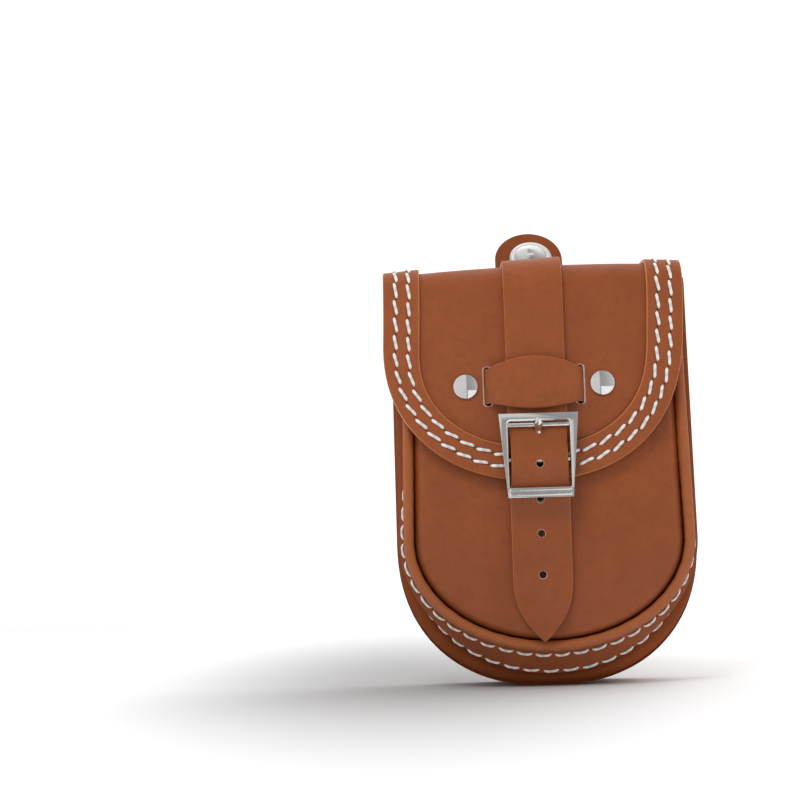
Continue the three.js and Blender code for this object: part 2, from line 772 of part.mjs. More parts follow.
function buckleFrame() {
  const top = upFlap(BUCKLE.topZ);
  const bottom = upFlap(BUCKLE.bottomZ);
  const windowTop = upFlap(BUCKLE.windowTopZ);
  const windowBottom = upFlap(BUCKLE.windowBottomZ);
  const bevel = 0.5;
  const outline = new THREE.Shape([
    new THREE.Vector2(-BUCKLE.bottomHalf + bevel, bottom + bevel),
    new THREE.Vector2(BUCKLE.bottomHalf - bevel, bottom + bevel),
    new THREE.Vector2(BUCKLE.topHalf - bevel, top - bevel),
    new THREE.Vector2(-BUCKLE.topHalf + bevel, top - bevel),
  ]);
  const windowHalf = BUCKLE.windowHalf + bevel;
  outline.holes.push(new THREE.Path([
    new THREE.Vector2(-windowHalf, windowBottom - bevel),
    new THREE.Vector2(-windowHalf, windowTop + bevel),
    new THREE.Vector2(windowHalf, windowTop + bevel),
    new THREE.Vector2(windowHalf, windowBottom - bevel),
  ]));
  const plateOptions = {
    depth: BUCKLE.front - BUCKLE.rear - 2 * bevel,
    bevelEnabled: true,
    bevelThickness: bevel,
    bevelSize: bevel,
    bevelSegments: 2,
  };
  const plate = new THREE.ExtrudeGeometry(outline, plateOptions).translate(0, 0, BUCKLE.rear + bevel);
  const lugFoot = BUCKLE.barLift - BUCKLE.barRadius - 0.4;
  const lugDepth = BUCKLE.rear + 0.6 - lugFoot;
  const lug = (side) => new THREE.BoxGeometry(2.2, 8, lugDepth).translate(
    side * (BUCKLE.windowHalf + 1.25), upFlap(BUCKLE.barZ), lugFoot + lugDepth / 2,
  );
  const centreBar = acrossRod(BUCKLE.barRadius, 2 * BUCKLE.windowHalf + 2, BUCKLE.barZ, BUCKLE.barLift);
  const rod = acrossRod(BUCKLE.rodRadius, 2 * BUCKLE.windowHalf + 2, BUCKLE.rodZ, BUCKLE.rodLift);
  const ridgeLength = 2 * BUCKLE.bottomHalf - 1.4;
  const ridges = [94.8, 97].map((z) => acrossRod(1.2, ridgeLength, z, BUCKLE.front - 0.6));
  const whole = join(plate, lug(-1), lug(1), centreBar, rod, ...ridges);
  return piece('buckle_frame', whole, metal(COLOURS.nickel));
}

function buckleProng() {
  const eye = acrossRod(BUCKLE.barRadius + 1.3, 3.2, BUCKLE.barZ, BUCKLE.barLift);
  const bore = acrossRod(BUCKLE.barRadius + 0.3, 8, BUCKLE.barZ, BUCKLE.barLift);
  return piece('buckle_prong', cut(join(eye, prongRod(BUCKLE.prongRadius)), bore), metal(COLOURS.nickel));
}

// ---------------------------------------------------------------- the snap tab

const tabLine = new FoldedLine([
  { length: TAB.straight },
  { radius: TAB.bendRadius, turn: TAB.bend },
  { length: TAB.reach + TAB.half },
]);
const snapDistance = tabLine.length - TAB.half;

function snapTab() {
  const roundSteps = 9;
  const ends = Array.from({ length: roundSteps }, (_, i) => {
    const angle = (Math.PI / 2) * ((i + 0.7) / (roundSteps - 0.15));
    return snapDistance + TAB.half * Math.sin(Math.min(angle, 1.5));
  });
  const lower = tabLine.steps(2, 7).filter((distance) => distance < snapDistance - 1);
  const distances = [...lower, snapDistance, ...ends];
  const rows = distances.map((distance) => {
    const half = Math.sqrt(TAB.half ** 2 - Math.max(0, distance - snapDistance) ** 2);
    const face = (lift) => [-1, -0.5, 0, 0.5, 1].map((share) => (
      onFold(tabLine, share * half, distance, lift)
    ));
    return { outer: face(0), inner: face(-TAB.thickness) };
  });
  const hole = new THREE.CylinderGeometry(SNAP.shank + 0.4, SNAP.shank + 0.4, 20, 16).rotateX(Math.PI / 2);
  placeOnTab(hole);
  return piece('snap_tab', cut(shell(rows), hole), leather(COLOURS.strap));
}

// Turns a shape that points along the lift axis so that it stands square on the tab.
function placeOnTab(geometry) {
  const spot = tabLine.at(snapDistance);
  geometry.rotateX(-spot.heading);
  geometry.translate(0, spot.up, spot.lift);
  return geometry;
}

function snapCap() {
  const { capRadius, capHeight, shank } = SNAP;
  const profile = [
    [0, -TAB.thickness], [shank, -TAB.thickness], [shank, GAP], [capRadius, GAP], [capRadius, GAP + 0.7],
    [capRadius * 0.86, GAP + 1.3], [capRadius * 0.8, GAP + 1.8], [capRadius * 0.62, GAP + 2.5],
    [capRadius * 0.36, GAP + capHeight - 0.3], [1.2, GAP + capHeight - 0.1], [0.7, GAP + capHeight + 0.3],
    [0, GAP + capHeight + 0.4],
  ];
  return piece('snap_cap', placeOnTab(turned(profile, 36)), metal(COLOURS.nickel));
}

function snapSocket() {
  const { socketRadius, socketHeight, socketBore } = SNAP;
  const face = -TAB.thickness - GAP;
  const profile = [
    [0, face - 1], [socketBore, face - 1.2], [socketBore, face - socketHeight],
    [socketRadius - 1, face - socketHeight], [socketRadius - 0.6, face - 1.4], [socketRadius, face - 1.2],
    [socketRadius, face], [0, face],
  ];
  return piece('snap_socket', placeOnTab(turned(profile, 28)), metal(COLOURS.nickel));
}

// ---------------------------------------------------------------- assembly

const body = new THREE.Group();
body.add(frontPanel(), gussetFront(), gussetRear(), backPanel());

// In these two groups x runs across, y up the flap's front and z out of it.
const onFlapFront = (group, shiftX) => {
  group.position.set(shiftX, flapOrigin.y, flapOrigin.z);
  group.rotation.x = Math.PI / 2 - FLAP.lean;
  return group;
};
const cover = onFlapFront(new THREE.Group(), FLAP.shiftX);
cover.add(flap(), flapBorder(), strapKeeper(), rivet('rivet_left', -1), rivet('rivet_right', 1));
const closure = onFlapFront(new THREE.Group(), STRAP.shiftX);
closure.add(billetStrap(), buckleChape(), buckleFrame(), buckleProng());

// The same axes, but upright, with its face on the strap's rear end.
const carrier = new THREE.Group();
const layers = 2 * GAP + LEATHER + STRAP.thickness + GAP + TAB.thickness;
carrier.position.set(TAB.shiftX, BODY.backY + layers - TAB.thickness, TAB.footZ);
carrier.rotation.x = Math.PI / 2;
carrier.add(snapTab(), snapCap(), snapSocket());

const tankBag = new THREE.Group();
tankBag.add(body, cover, closure, carrier);

export default tankBag;
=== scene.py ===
# %% [markdown]
# # A small leather tank bag
#
# The part was made first as plain solids, which give every piece its size and its place. Here each
# piece gets the surface that a saddler would give it: rolled edges, cut edges that show the raw
# fibre, hand-laid stitches, and polished nickel.

# %% Load the solids
import json
import math
import random

import bmesh
import bpy
import numpy as np
from mathutils import Matrix, Vector
from mathutils.kdtree import KDTree

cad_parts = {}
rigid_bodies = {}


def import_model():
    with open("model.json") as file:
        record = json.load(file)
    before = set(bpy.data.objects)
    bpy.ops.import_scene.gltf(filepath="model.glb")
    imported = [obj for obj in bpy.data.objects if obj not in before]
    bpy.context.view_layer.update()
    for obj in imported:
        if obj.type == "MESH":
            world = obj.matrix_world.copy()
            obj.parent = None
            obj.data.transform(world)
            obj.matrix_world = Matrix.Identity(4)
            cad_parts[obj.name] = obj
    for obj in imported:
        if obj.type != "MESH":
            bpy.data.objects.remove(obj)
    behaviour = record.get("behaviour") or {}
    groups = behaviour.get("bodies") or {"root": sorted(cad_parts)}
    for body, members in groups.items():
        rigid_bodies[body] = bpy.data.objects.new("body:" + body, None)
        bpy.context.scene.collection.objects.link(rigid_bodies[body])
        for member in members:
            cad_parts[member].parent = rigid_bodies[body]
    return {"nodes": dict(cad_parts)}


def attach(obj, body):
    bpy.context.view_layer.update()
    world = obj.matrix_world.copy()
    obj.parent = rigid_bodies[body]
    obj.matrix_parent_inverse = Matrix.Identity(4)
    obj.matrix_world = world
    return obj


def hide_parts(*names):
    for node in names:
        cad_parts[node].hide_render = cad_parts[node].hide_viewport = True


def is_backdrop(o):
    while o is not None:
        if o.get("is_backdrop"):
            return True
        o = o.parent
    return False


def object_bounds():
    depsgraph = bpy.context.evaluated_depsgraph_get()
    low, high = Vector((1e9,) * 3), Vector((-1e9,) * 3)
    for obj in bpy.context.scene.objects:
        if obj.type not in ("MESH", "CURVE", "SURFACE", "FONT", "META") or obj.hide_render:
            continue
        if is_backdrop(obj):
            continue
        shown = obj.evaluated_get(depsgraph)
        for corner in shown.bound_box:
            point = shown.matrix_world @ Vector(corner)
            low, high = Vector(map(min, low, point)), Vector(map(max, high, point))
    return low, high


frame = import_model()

MM = 0.001
cad_box = [list(corner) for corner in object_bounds()]
print("solids:", len(frame["nodes"]), "box:", [[round(v, 4) for v in c] for c in cad_box])

# %% [markdown]
# ## Camera, floor and lights
#
# A camera is placed by three directions: where it looks, its right and its up. They make the
# columns of its matrix, and a small roll turns right and up about the view. The floor is a large
# pale disc with a grey patch painted where the bag stands. Soft light comes from two wide lamps and
# from a sky whose brightness depends on the direction, because polished metal shows whatever is
# around it. The camera itself sees plain white there, and no reflection shows the floor or a lamp.

# %% Camera
CAMERA = {
    "place": Vector((-0.060, -1.076, 0.075)),
    "yaw": math.radians(-0.682),
    "pitch": math.radians(3.814),
    "roll": math.radians(1.7),
    "lens": 94.5,
}


def add_camera(place, yaw, pitch, roll, lens):
    """A camera at a place, turned by yaw, raised by pitch and rolled about its view."""
    view = Vector((math.sin(yaw) * math.cos(pitch), math.cos(yaw) * math.cos(pitch), math.sin(pitch)))
    right = Vector((math.cos(yaw), -math.sin(yaw), 0))
    up = right.cross(view)
    side = right * math.cos(roll) - up * math.sin(roll)
    top = right * math.sin(roll) + up * math.cos(roll)
    bpy.ops.object.camera_add()
    camera = bpy.context.object
    camera.name = "camera"
    camera.data.lens = lens
    camera.data.sensor_width = 36
    turn = Matrix((side, top, -view)).transposed()
    camera.matrix_world = Matrix.Translation(place) @ turn.to_4x4()
    bpy.context.scene.camera = camera
    return camera


camera = add_camera(**CAMERA)
print("camera at", [round(v, 3) for v in camera.location], "lens", camera.data.lens)

# %% Floor, sky and lamps
LAMPS = {
    "key": {"place": (-0.4, -0.85, 1.2), "size": 0.6, "power": 6.5},
    "back_right": {"place": (0.8, 0.6, 1.2), "size": 1.3, "power": 7.0},
}
# What the studio shows all round, by the angle from straight in front, in degrees to the right,
# and what share of it is left by the angle above the level.
AROUND = [(-180, 1.12), (-120, 1.1), (-85, 0.85), (-60, 0.74), (-2, 0.7), (2, 0.34), (25, 0.42), (52, 0.62),
          (70, 0.84), (100, 0.9), (180, 1.12)]
ABOVE = [(-90, 0.3), (-42, 0.35), (-36, 1), (54, 1), (58, 0.6), (66, 0.8), (76, 1.1), (90, 1.2)]
WINDOW = {"left": 4, "right": 80, "top": -3, "light": 1.0}


def new_material(name):
    """A material with nodes, together with its node tree and its shader."""
    material = bpy.data.materials.new(name)
    material.use_nodes = True
    return material, material.node_tree, material.node_tree.nodes["Principled BSDF"]


def plain_material(name, colour, roughness):
    material, _, shader = new_material(name)
    shader.inputs["Base Color"].default_value = (*colour, 1)
    shader.inputs["Roughness"].default_value = roughness
    return material


def floor_finish():
    """Pale paint, with a grey patch where the bag stands that deepens its soft shadow."""
    material = plain_material("floor_paint", (0.98, 0.98, 0.98), 0.9)
    tree = material.node_tree
    place = tree.nodes.new("ShaderNodeMapping")
    place.inputs["Location"].default_value = (0.35, -0.1, 0)
    place.inputs["Scale"].default_value = (5.0, 1.4, 1)
    tree.links.new(tree.nodes.new("ShaderNodeTexCoord").outputs["Object"], place.inputs["Vector"])
    # Painted shadow: the floor is painted grey where the bag stands and pale further out.
    wear_and_painted_shadow = tree.nodes.new("ShaderNodeTexGradient")
    wear_and_painted_shadow.gradient_type = "SPHERICAL"
    tree.links.new(place.outputs["Vector"], wear_and_painted_shadow.inputs["Vector"])
    ramp = tree.nodes.new("ShaderNodeValToRGB")
    ramp.color_ramp.interpolation = "EASE"
    ramp.color_ramp.elements[0].color = (0.98, 0.98, 0.98, 1)
    ramp.color_ramp.elements[1].color = (0.42, 0.42, 0.42, 1)
    tree.links.new(wear_and_painted_shadow.outputs["Fac"], ramp.inputs[0])
    tree.links.new(ramp.outputs[0], tree.nodes["Principled BSDF"].inputs["Base Color"])
    return material


def add_floor(radius):
    bpy.ops.mesh.primitive_circle_add(vertices=96, radius=radius, fill_type="NGON")
    floor = bpy.context.object
    floor.name = "floor"
    floor.location.z = -0.0002
    floor.data.materials.append(floor_finish())
    floor.visible_glossy = False
    floor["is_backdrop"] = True


def add_lamp(name, place, size, power):
    bpy.ops.object.light_add(type="AREA", location=place)
    lamp = bpy.context.object
    lamp.name = name
    lamp.data.shape = "DISK"
    lamp.data.size = size
    lamp.data.energy = power
    lamp.visible_glossy = False
    aim = Vector((0, 0, 0.11)) - Vector(place)
    lamp.rotation_euler = aim.to_track_quat("-Z", "Y").to_euler()


def reckon(tree, operation, *values):
    """One step of arithmetic. Each value is a socket or a number."""
    made = tree.nodes.new("ShaderNodeMath")
    made.operation = operation
    for socket, value in zip(made.inputs, values):
        if isinstance(value, (int, float)):
            socket.default_value = value
        else:
            tree.links.new(value, socket)
    return made.outputs[0]


def light_by_angle(tree, angle, stops):
    first, last = stops[0][0], stops[-1][0]
    ramp = tree.nodes.new("ShaderNodeValToRGB")
    marks = ramp.color_ramp.elements
    while len(marks) < len(stops):
        marks.new(0.5)
    for mark, (at, light) in zip(marks, stops):
        mark.position = (at - first) / (last - first)
        mark.color = (light, light, light, 1)
    share = reckon(tree, "DIVIDE", reckon(tree, "SUBTRACT", angle, first), last - first)
    tree.links.new(share, ramp.inputs[0])
    return ramp.outputs[0]


def add_sky():
    """A sky that changes with the direction, and is plain white where the camera sees it."""
    world = bpy.data.worlds.new("studio")
    world.use_nodes = True
    tree = world.node_tree
    split = tree.nodes.new("ShaderNodeSeparateXYZ")
    tree.links.new(tree.nodes.new("ShaderNodeTexCoord").outputs["Generated"], split.inputs[0])
    x, y, z = (split.outputs[axis] for axis in "XYZ")
    turn = reckon(tree, "DEGREES", reckon(tree, "ARCTAN2", x, reckon(tree, "MULTIPLY", y, -1)))
    height = reckon(tree, "DEGREES", reckon(tree, "ARCSINE", z))
    studio = reckon(tree, "MULTIPLY", light_by_angle(tree, turn, AROUND), light_by_angle(tree, height, ABOVE))
    inside = reckon(tree, "MULTIPLY", reckon(tree, "GREATER_THAN", turn, WINDOW["left"]),
                    reckon(tree, "LESS_THAN", turn, WINDOW["right"]))
    inside = reckon(tree, "MULTIPLY", inside, reckon(tree, "LESS_THAN", height, WINDOW["top"]))
    studio = reckon(tree, "MAXIMUM", studio, reckon(tree, "MULTIPLY", inside, WINDOW["light"]))
    seen = tree.nodes.new("ShaderNodeLightPath").outputs["Is Camera Ray"]
    light = reckon(tree, "MAXIMUM", studio, reckon(tree, "MULTIPLY", seen, 1.2))
    tree.links.new(light, tree.nodes["Background"].inputs["Color"])
    bpy.context.scene.world = world


add_floor(radius=1.1)
for lamp_name, lamp in LAMPS.items():
    add_lamp(lamp_name, **lamp)
add_sky()
bpy.context.scene.view_settings.view_transform = "Standard"
print("lamps:", len(LAMPS))

# %% [markdown]
# ## Helpers for laying leather
#
# Most pieces here are strips of leather bent over a form. Extruding a circle can't follow such a
# form, because every row has another outline. So a grid is added, and each of its points is laid
# in its place by a rule. A strip's grid goes right round its section, over the cut edges too, and
# is then welded along the seam and closed at its ends, so that each strip is one closed body.

# %% Grids laid by a rule
def select_none():
    if bpy.context.object and bpy.context.object.mode != "OBJECT":
        bpy.ops.object.mode_set(mode="OBJECT")
    bpy.ops.object.select_all(action="DESELECT")


def select_only(piece):
    select_none()
    piece.select_set(True)
    bpy.context.view_layer.objects.active = piece


def face_outwards():
    bpy.ops.mesh.select_all(action="SELECT")
    bpy.ops.mesh.normals_make_consistent(inside=False)


def close_open_edges():
    bpy.ops.mesh.select_all(action="DESELECT")
    bpy.ops.mesh.select_mode(type="EDGE")
    bpy.ops.mesh.select_non_manifold(extend=False, use_wire=False, use_multi_face=False)
    bpy.ops.mesh.fill_holes(sides=0)


def laid_grid(name, points, closed=True, weld=0.000002):
    """points is rows x columns x 3, in millimetres. Welded where they meet, and closed if asked."""
    rows, columns = points.shape[:2]
    select_none()
    bpy.ops.mesh.primitive_grid_add(x_subdivisions=columns - 1, y_subdivisions=rows - 1, size=2)
    piece = bpy.context.object
    piece.name = name
    piece.data.name = name
    flat = np.zeros(len(piece.data.vertices) * 3)
    piece.data.vertices.foreach_get("co", flat)
    flat = flat.reshape(-1, 3)
    column = np.rint((flat[:, 0] + 1) / 2 * (columns - 1)).astype(int)
    row = np.rint((flat[:, 1] + 1) / 2 * (rows - 1)).astype(int)
    piece.data.vertices.foreach_set("co", (points[row, column] * MM).ravel())
    bpy.ops.object.mode_set(mode="EDIT")
    bpy.ops.mesh.select_all(action="SELECT")
    bpy.ops.mesh.remove_doubles(threshold=weld)
    if closed:
        close_open_edges()
        face_outwards()
    bpy.ops.object.mode_set(mode="OBJECT")
    return piece


def smooth(piece, degrees=40):
    select_only(piece)
    bpy.ops.object.shade_smooth_by_angle(angle=math.radians(degrees))


def apply_modifier(piece, kind, **settings):
    select_only(piece)
    modifier = piece.modifiers.new(kind.lower(), kind)
    for key, value in settings.items():
        setattr(modifier, key, value)
    bpy.ops.object.modifier_apply(modifier=modifier.name)


def vertex_places(piece):
    flat = np.zeros(len(piece.data.vertices) * 3)
    piece.data.vertices.foreach_get("co", flat)
    return flat.reshape(-1, 3) / MM


def paint(piece, name, values):
    """Stores one number for each point, which a material reads by name."""
    attribute = piece.data.attributes.get(name)
    if attribute is None:
        attribute = piece.data.attributes.new(name, "FLOAT", "POINT")
    attribute.data.foreach_set("value", np.asarray(values, np.float32))


def tree_of(places):
    tree = KDTree(len(places))
    for i, place in enumerate(places):
        tree.insert(place, i)
    tree.balance()
    return tree


def paint_like(piece, name, places, values, reach=1.2):
    """Paints each point as the nearest of some known places is painted."""
    tree = tree_of(places)
    found = [tree.find(place) for place in vertex_places(piece)]
    paint(piece, name, [values[i] if gap < reach else 0.0 for _, i, gap in found])


def paint_columns(piece, name, points, *marks):
    """Paints a laid piece by the columns of its grid. Each mark is (columns, value)."""
    values = np.zeros(points.shape[:2])
    for columns, value in marks:
        values[:, columns] = value
    paint_like(piece, name, points.reshape(-1, 3), values.ravel())


def finish_piece(piece, material, nodes=()):
    """Gives the piece its finish, sets it on the root body, and hides the solids that it stands for."""
    piece.data.materials.clear()
    piece.data.materials.append(material)
    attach(piece, "root")
    if nodes:
        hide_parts(*nodes)
    print(piece.name, "faces:", len(piece.data.polygons))
    return piece

# %% [markdown]
# ## Finishes
#
# Saddle leather is dyed through, waxed and a little glossy. Its colour drifts slowly from place to
# place, its grain is finer than a millimetre, and where it was cut the paler, rougher fibre shows.
# A node tree mixes all that from noise on Object coordinates. Numbers painted on the
# piece say where it is special: `edge` on burnished edges, `raw` on the pale fibre of a fresh cut,
# `hole` where an awl went in and under the strap's holes, which is painted shade, and `shade` where
# the leather is painted darker. Some of that is colour, and the rest is painted shade in seams and
# grooves, up the gussets' sides, on the tab and behind the buckle. On the bead's front, `edge` is
# part wear and part painted highlight.

# %% Leather
def node(tree, kind, **values):
    made = tree.nodes.new(kind)
    for key, value in values.items():
        if hasattr(made, key):
            setattr(made, key, value)
        else:
            made.inputs[key].default_value = value
    return made


def noise(tree, vector, scale, detail=2.0, roughness=0.5):
    made = node(tree, "ShaderNodeTexNoise", Scale=scale, Detail=detail, Roughness=roughness)
    tree.links.new(vector, made.inputs["Vector"])
    return made.outputs["Fac"]


def mixed(tree, factor, low, high):
    """Mixes two colours, each a socket or three numbers."""
    mix = node(tree, "ShaderNodeMix", data_type="RGBA")
    sockets = [s for s in mix.inputs if s.type == "RGBA"]
    for socket, colour in zip(sockets, (low, high)):
        if isinstance(colour, tuple):
            socket.default_value = (*colour, 1)
        else:
            tree.links.new(colour, socket)
    tree.links.new(factor, mix.inputs["Factor"])
    return next(s for s in mix.outputs if s.type == "RGBA")


def ranged(tree, value, low, high, to_low=0.0, to_high=1.0):
    made = tree.nodes.new("ShaderNodeMapRange")
    for index, number in enumerate((low, high, to_low, to_high), start=1):
        made.inputs[index].default_value = number
    tree.links.new(value, made.inputs[0])
    return made.outputs[0]


def painted(tree, name):
    made = tree.nodes.new("ShaderNodeAttribute")
    made.attribute_name = name
    return made.outputs["Fac"]


def leather(name, colour, dark=0.88, light=1.08, grain=0.3, roughness=0.46, sheen=0.34):
    """Waxed saddle leather. dark and light are how far its colour drifts."""
    material, tree, shader = new_material(name)
    place = tree.nodes.new("ShaderNodeTexCoord").outputs["Object"]

    drift = ranged(tree, noise(tree, place, 22, 3), 0.36, 0.64)
    mottle = ranged(tree, noise(tree, place, 240, 4, 0.6), 0.3, 0.7)
    shades = [tuple(channel * share for channel in colour) for share in (dark, 1.0, light)]
    body = mixed(tree, drift, shades[0], shades[1])
    body = mixed(tree, ranged(tree, noise(tree, place, 75, 3), 0.45, 0.75, 0, 0.55), body, shades[2])
    speck = tuple(channel * 0.78 for channel in colour)
    body = mixed(tree, ranged(tree, mottle, 0.45, 1.0, 0, 0.6), body, speck)

    fibre = noise(tree, place, 1500, 3, 0.7)
    # Burnished cut edges are paler. Where the bead's front gets this colour, it is partly a painted
    # highlight.
    wear_and_painted_shadow = mixed(tree, fibre, tuple(channel * 1.2 for channel in colour), (0.64, 0.26, 0.10))
    body = mixed(tree, ranged(tree, painted(tree, "edge"), 0.35, 0.95), body, wear_and_painted_shadow)
    fresh = mixed(tree, fibre, (0.66, 0.47, 0.34), (0.95, 0.86, 0.77))
    body = mixed(tree, painted(tree, "raw"), body, fresh)
    # Painted shade: the colour goes towards near black where `shade` or `hole` is painted.
    body = mixed(tree, ranged(tree, painted(tree, "shade"), 0, 1, 0, 0.8), body, (0.045, 0.012, 0.006))
    body = mixed(tree, ranged(tree, painted(tree, "hole"), 0.25, 1.0), body, (0.03, 0.009, 0.004))
    tree.links.new(body, shader.inputs["Base Color"])

    gloss = ranged(tree, noise(tree, place, 110, 3), 0.3, 0.7, roughness - 0.07, roughness + 0.09)
    dull = ranged(tree, painted(tree, "shade"), 0, 0.5, 0, 0.35)
    tree.links.new(reckon(tree, "ADD", gloss, dull), shader.inputs["Roughness"])
    shine = ranged(tree, painted(tree, "shade"), 0, 0.6, sheen, 0.04)
    tree.links.new(shine, shader.inputs["Specular IOR Level"])

    pores = node(tree, "ShaderNodeTexVoronoi", Scale=1150.0)
    tree.links.new(place, pores.inputs["Vector"])
    crease = ranged(tree, pores.outputs["Distance"], 0.0, 0.55)
    fine = node(tree, "ShaderNodeBump", Strength=grain, Distance=0.00012)
    tree.links.new(crease, fine.inputs["Height"])
    soft = node(tree, "ShaderNodeBump", Strength=0.25, Distance=0.0006)
    tree.links.new(noise(tree, place, 330, 3), soft.inputs["Height"])
    tree.links.new(fine.outputs["Normal"], soft.inputs["Normal"])
    tree.links.new(soft.outputs["Normal"], shader.inputs["Normal"])
    return material


PANEL_LEATHER = leather("waxed_panel_leather", (0.300, 0.074, 0.019))
# The gussets and the back are a darker copy of the panel leather: partly their own colour, partly painted
# shade.
GUSSET_LEATHER = leather("waxed_gusset_leather", (0.270, 0.068, 0.021), roughness=0.75, sheen=0.06)
BORDER_LEATHER = leather("waxed_border_leather", (0.320, 0.080, 0.020))
STRAP_LEATHER = leather("waxed_strap_leather", (0.310, 0.078, 0.020), grain=0.25)
print("leathers:", [m.name for m in bpy.data.materials if "leather" in m.name])

# %% [markdown]
# The thread is pale and twisted. Each stitch has its own strip of UV, so a wave that runs slantwise
# in UV draws the twist on it. The hardware is nickel: full metal, nearly smooth, with faint smears
# that change how sharp the reflections are and how bright.

# %% Thread and nickel
def thread_finish(name, colour):
    material, tree, shader = new_material(name)
    coordinates = tree.nodes.new("ShaderNodeTexCoord")
    turn = node(tree, "ShaderNodeMapping")
    turn.inputs["Scale"].default_value = (3.0, 1.0, 1.0)
    tree.links.new(coordinates.outputs["UV"], turn.inputs["Vector"])
    twist = node(tree, "ShaderNodeTexWave", Scale=0.32, Distortion=0.4)
    twist.bands_direction = "DIAGONAL"
    tree.links.new(turn.outputs["Vector"], twist.inputs["Vector"])
    dust = noise(tree, coordinates.outputs["Object"], 900, 3)
    dull = tuple(channel * 0.72 for channel in colour)
    # The darker bands along the twist are painted shade between the plies.
    body = mixed(tree, ranged(tree, twist.outputs["Fac"], 0, 0.6), dull, colour)
    body = mixed(tree, ranged(tree, dust, 0.45, 0.8, 0, 0.4), body, dull)
    tree.links.new(body, shader.inputs["Base Color"])
    shader.inputs["Roughness"].default_value = 0.55
    bump = node(tree, "ShaderNodeBump", Strength=0.6, Distance=0.0003)
    tree.links.new(twist.outputs["Fac"], bump.inputs["Height"])
    tree.links.new(bump.outputs["Normal"], shader.inputs["Normal"])
    return material


def nickel_finish(name, colour, roughness):
    material, tree, shader = new_material(name)
    place = tree.nodes.new("ShaderNodeTexCoord").outputs["Object"]
    smear = noise(tree, place, 160, 4)
    dim = tuple(channel * 0.9 for channel in colour)
    tree.links.new(mixed(tree, ranged(tree, smear, 0.3, 0.7), dim, colour), shader.inputs["Base Color"])
    shader.inputs["Metallic"].default_value = 1.0
    tree.links.new(ranged(tree, smear, 0.35, 0.75, roughness, roughness + 0.06), shader.inputs["Roughness"])
    bump = node(tree, "ShaderNodeBump", Strength=0.05, Distance=0.0002)
    tree.links.new(noise(tree, place, 420, 2), bump.inputs["Height"])
    tree.links.new(bump.outputs["Normal"], shader.inputs["Normal"])
    return material


THREAD = thread_finish("waxed_thread", (0.86, 0.85, 0.82))
NICKEL = nickel_finish("polished_nickel", (0.84, 0.83, 0.81), 0.04)

# %% [markdown]
# ## The body's form
#
# The bag's front leans back a little, and everything on it is measured from one plane, which runs
# through the crest of the bead. A ring runs down the left side, round the bottom and up the right
# side. Rings differ in their half width, their drop and their depth behind that plane, and a list
# of rings is a section through the leather.

# %% Rings round the body
CENTRE_Z = 73.5
TOP_Z = 205.0
BACK_Y = 30.0
LEATHER = 3.0
GAP = 0.3
BEAD = {"radius": 2.7, "depth": 2.9, "half": 70.2, "drop": 53.1, "taper": 0.018}
# The outer face of the front gusset's strip, and then of the rear one where it comes out behind
# it: depth and half width at the sides, depth and drop at the bottom, how square the round part
# is, how much it narrows upwards, and whether it is at the back.
SKIN = np.array([
    (3.4, 72.5, 3.2, 55.9, 2.01, 0.02, 0),
    (6.5, 72.9, 5.2, 57.7, 2.02, 0.04, 0),
    (10, 74.6, 7.8, 60.0, 2.03, 0.012, 0),
    (13, 74.7, 10.3, 62.6, 2.05, 0.005, 0),
    (17, 69.2, 14.5, 67.3, 2.12, 0, 0),
], float)
REAR = np.array([
    (19.8, 70.0, 18.3, 67.6, 2.15, 0, 0),
    (23, 74.6, 21, 70.5, 2.25, 0, 0),
    (28, 76.4, 25, 72.8, 2.28, 0, 0),
    (34, 76.5, 30, 74.2, 2.28, 0, 0),
    (60, 76.4, 60, 74.2, 2.28, 0, 1),
], float)


def eased(value):
    value = np.clip(value, 0, 1)
    return value * value * (3 - 2 * value)


def crest(z):
    """How far back the crest plane lies at a height."""
    return -33.0 + 0.0875 * z


def stations(top, side_count, round_count):
    """Places along a ring, as three lists: across, down and rise."""
    rise = np.linspace(top - CENTRE_Z, 0, side_count, endpoint=False)
    angle = np.linspace(0, math.pi, round_count + 1)
    ones, zeros = np.ones(side_count), np.zeros(side_count)
    across = np.concatenate([-ones, -np.cos(angle), ones])
    down = np.concatenate([zeros, np.clip(np.sin(angle), 0, None), zeros])
    return across, down, np.concatenate([rise, np.zeros(round_count + 1), rise[::-1]])


def ring_points(rings, places, floor=0.0):
    """Every ring at every station, in millimetres: stations x rings x 3."""
    across, down, rise = (values[:, None] for values in places)
    side_depth, half, low_depth, drop, square, taper, at_back = rings.T
    rounded = down ** (2 / square)
    x = np.sign(across) * np.abs(across) ** (2 / square) * (half - taper * rise)
    z = np.maximum(floor, CENTRE_Z + rise - drop * rounded)
    depth = side_depth + (low_depth - side_depth) * rounded
    behind_bead = np.exp(-(((depth - 6.5) / 2.6) ** 2)) * (1 - rounded)
    x = x - (0.55 * np.abs(across) + 1.5 * np.sign(across) * eased((rise - 5) / 45)) * behind_bead
    y = crest(z) + depth
    y = y + at_back * (BACK_Y - LEATHER - GAP - y)
    return np.stack([x, y, z], axis=-1)


def finer(table, steps):
    """More rows between those of a table, on a smooth curve through them."""
    rows = np.vstack([2 * table[0] - table[1], table, 2 * table[-1] - table[-2]])
    made = []
    for i in range(len(table) - 1):
        a, b, c, d = rows[i:i + 4]
        for t in np.arange(steps) / steps:
            made.append(0.5 * (2 * b + (c - a) * t + (2 * a - 5 * b + 4 * c - d) * t**2
                               + (3 * b - a - 3 * c + d) * t**3))
    return np.array(made + [table[-1]])


def moved_out(rings, distance):
    """Rings moved square to the line that they make, at the sides and at the bottom."""
    made = rings.copy()
    for depth, size in ((0, 1), (2, 3)):
        way = np.gradient(rings[:, [depth, size]], axis=0)
        way /= np.linalg.norm(way, axis=1, keepdims=True)
        made[:, depth] -= way[:, 1] * distance
        made[:, size] += way[:, 0] * distance
    return made


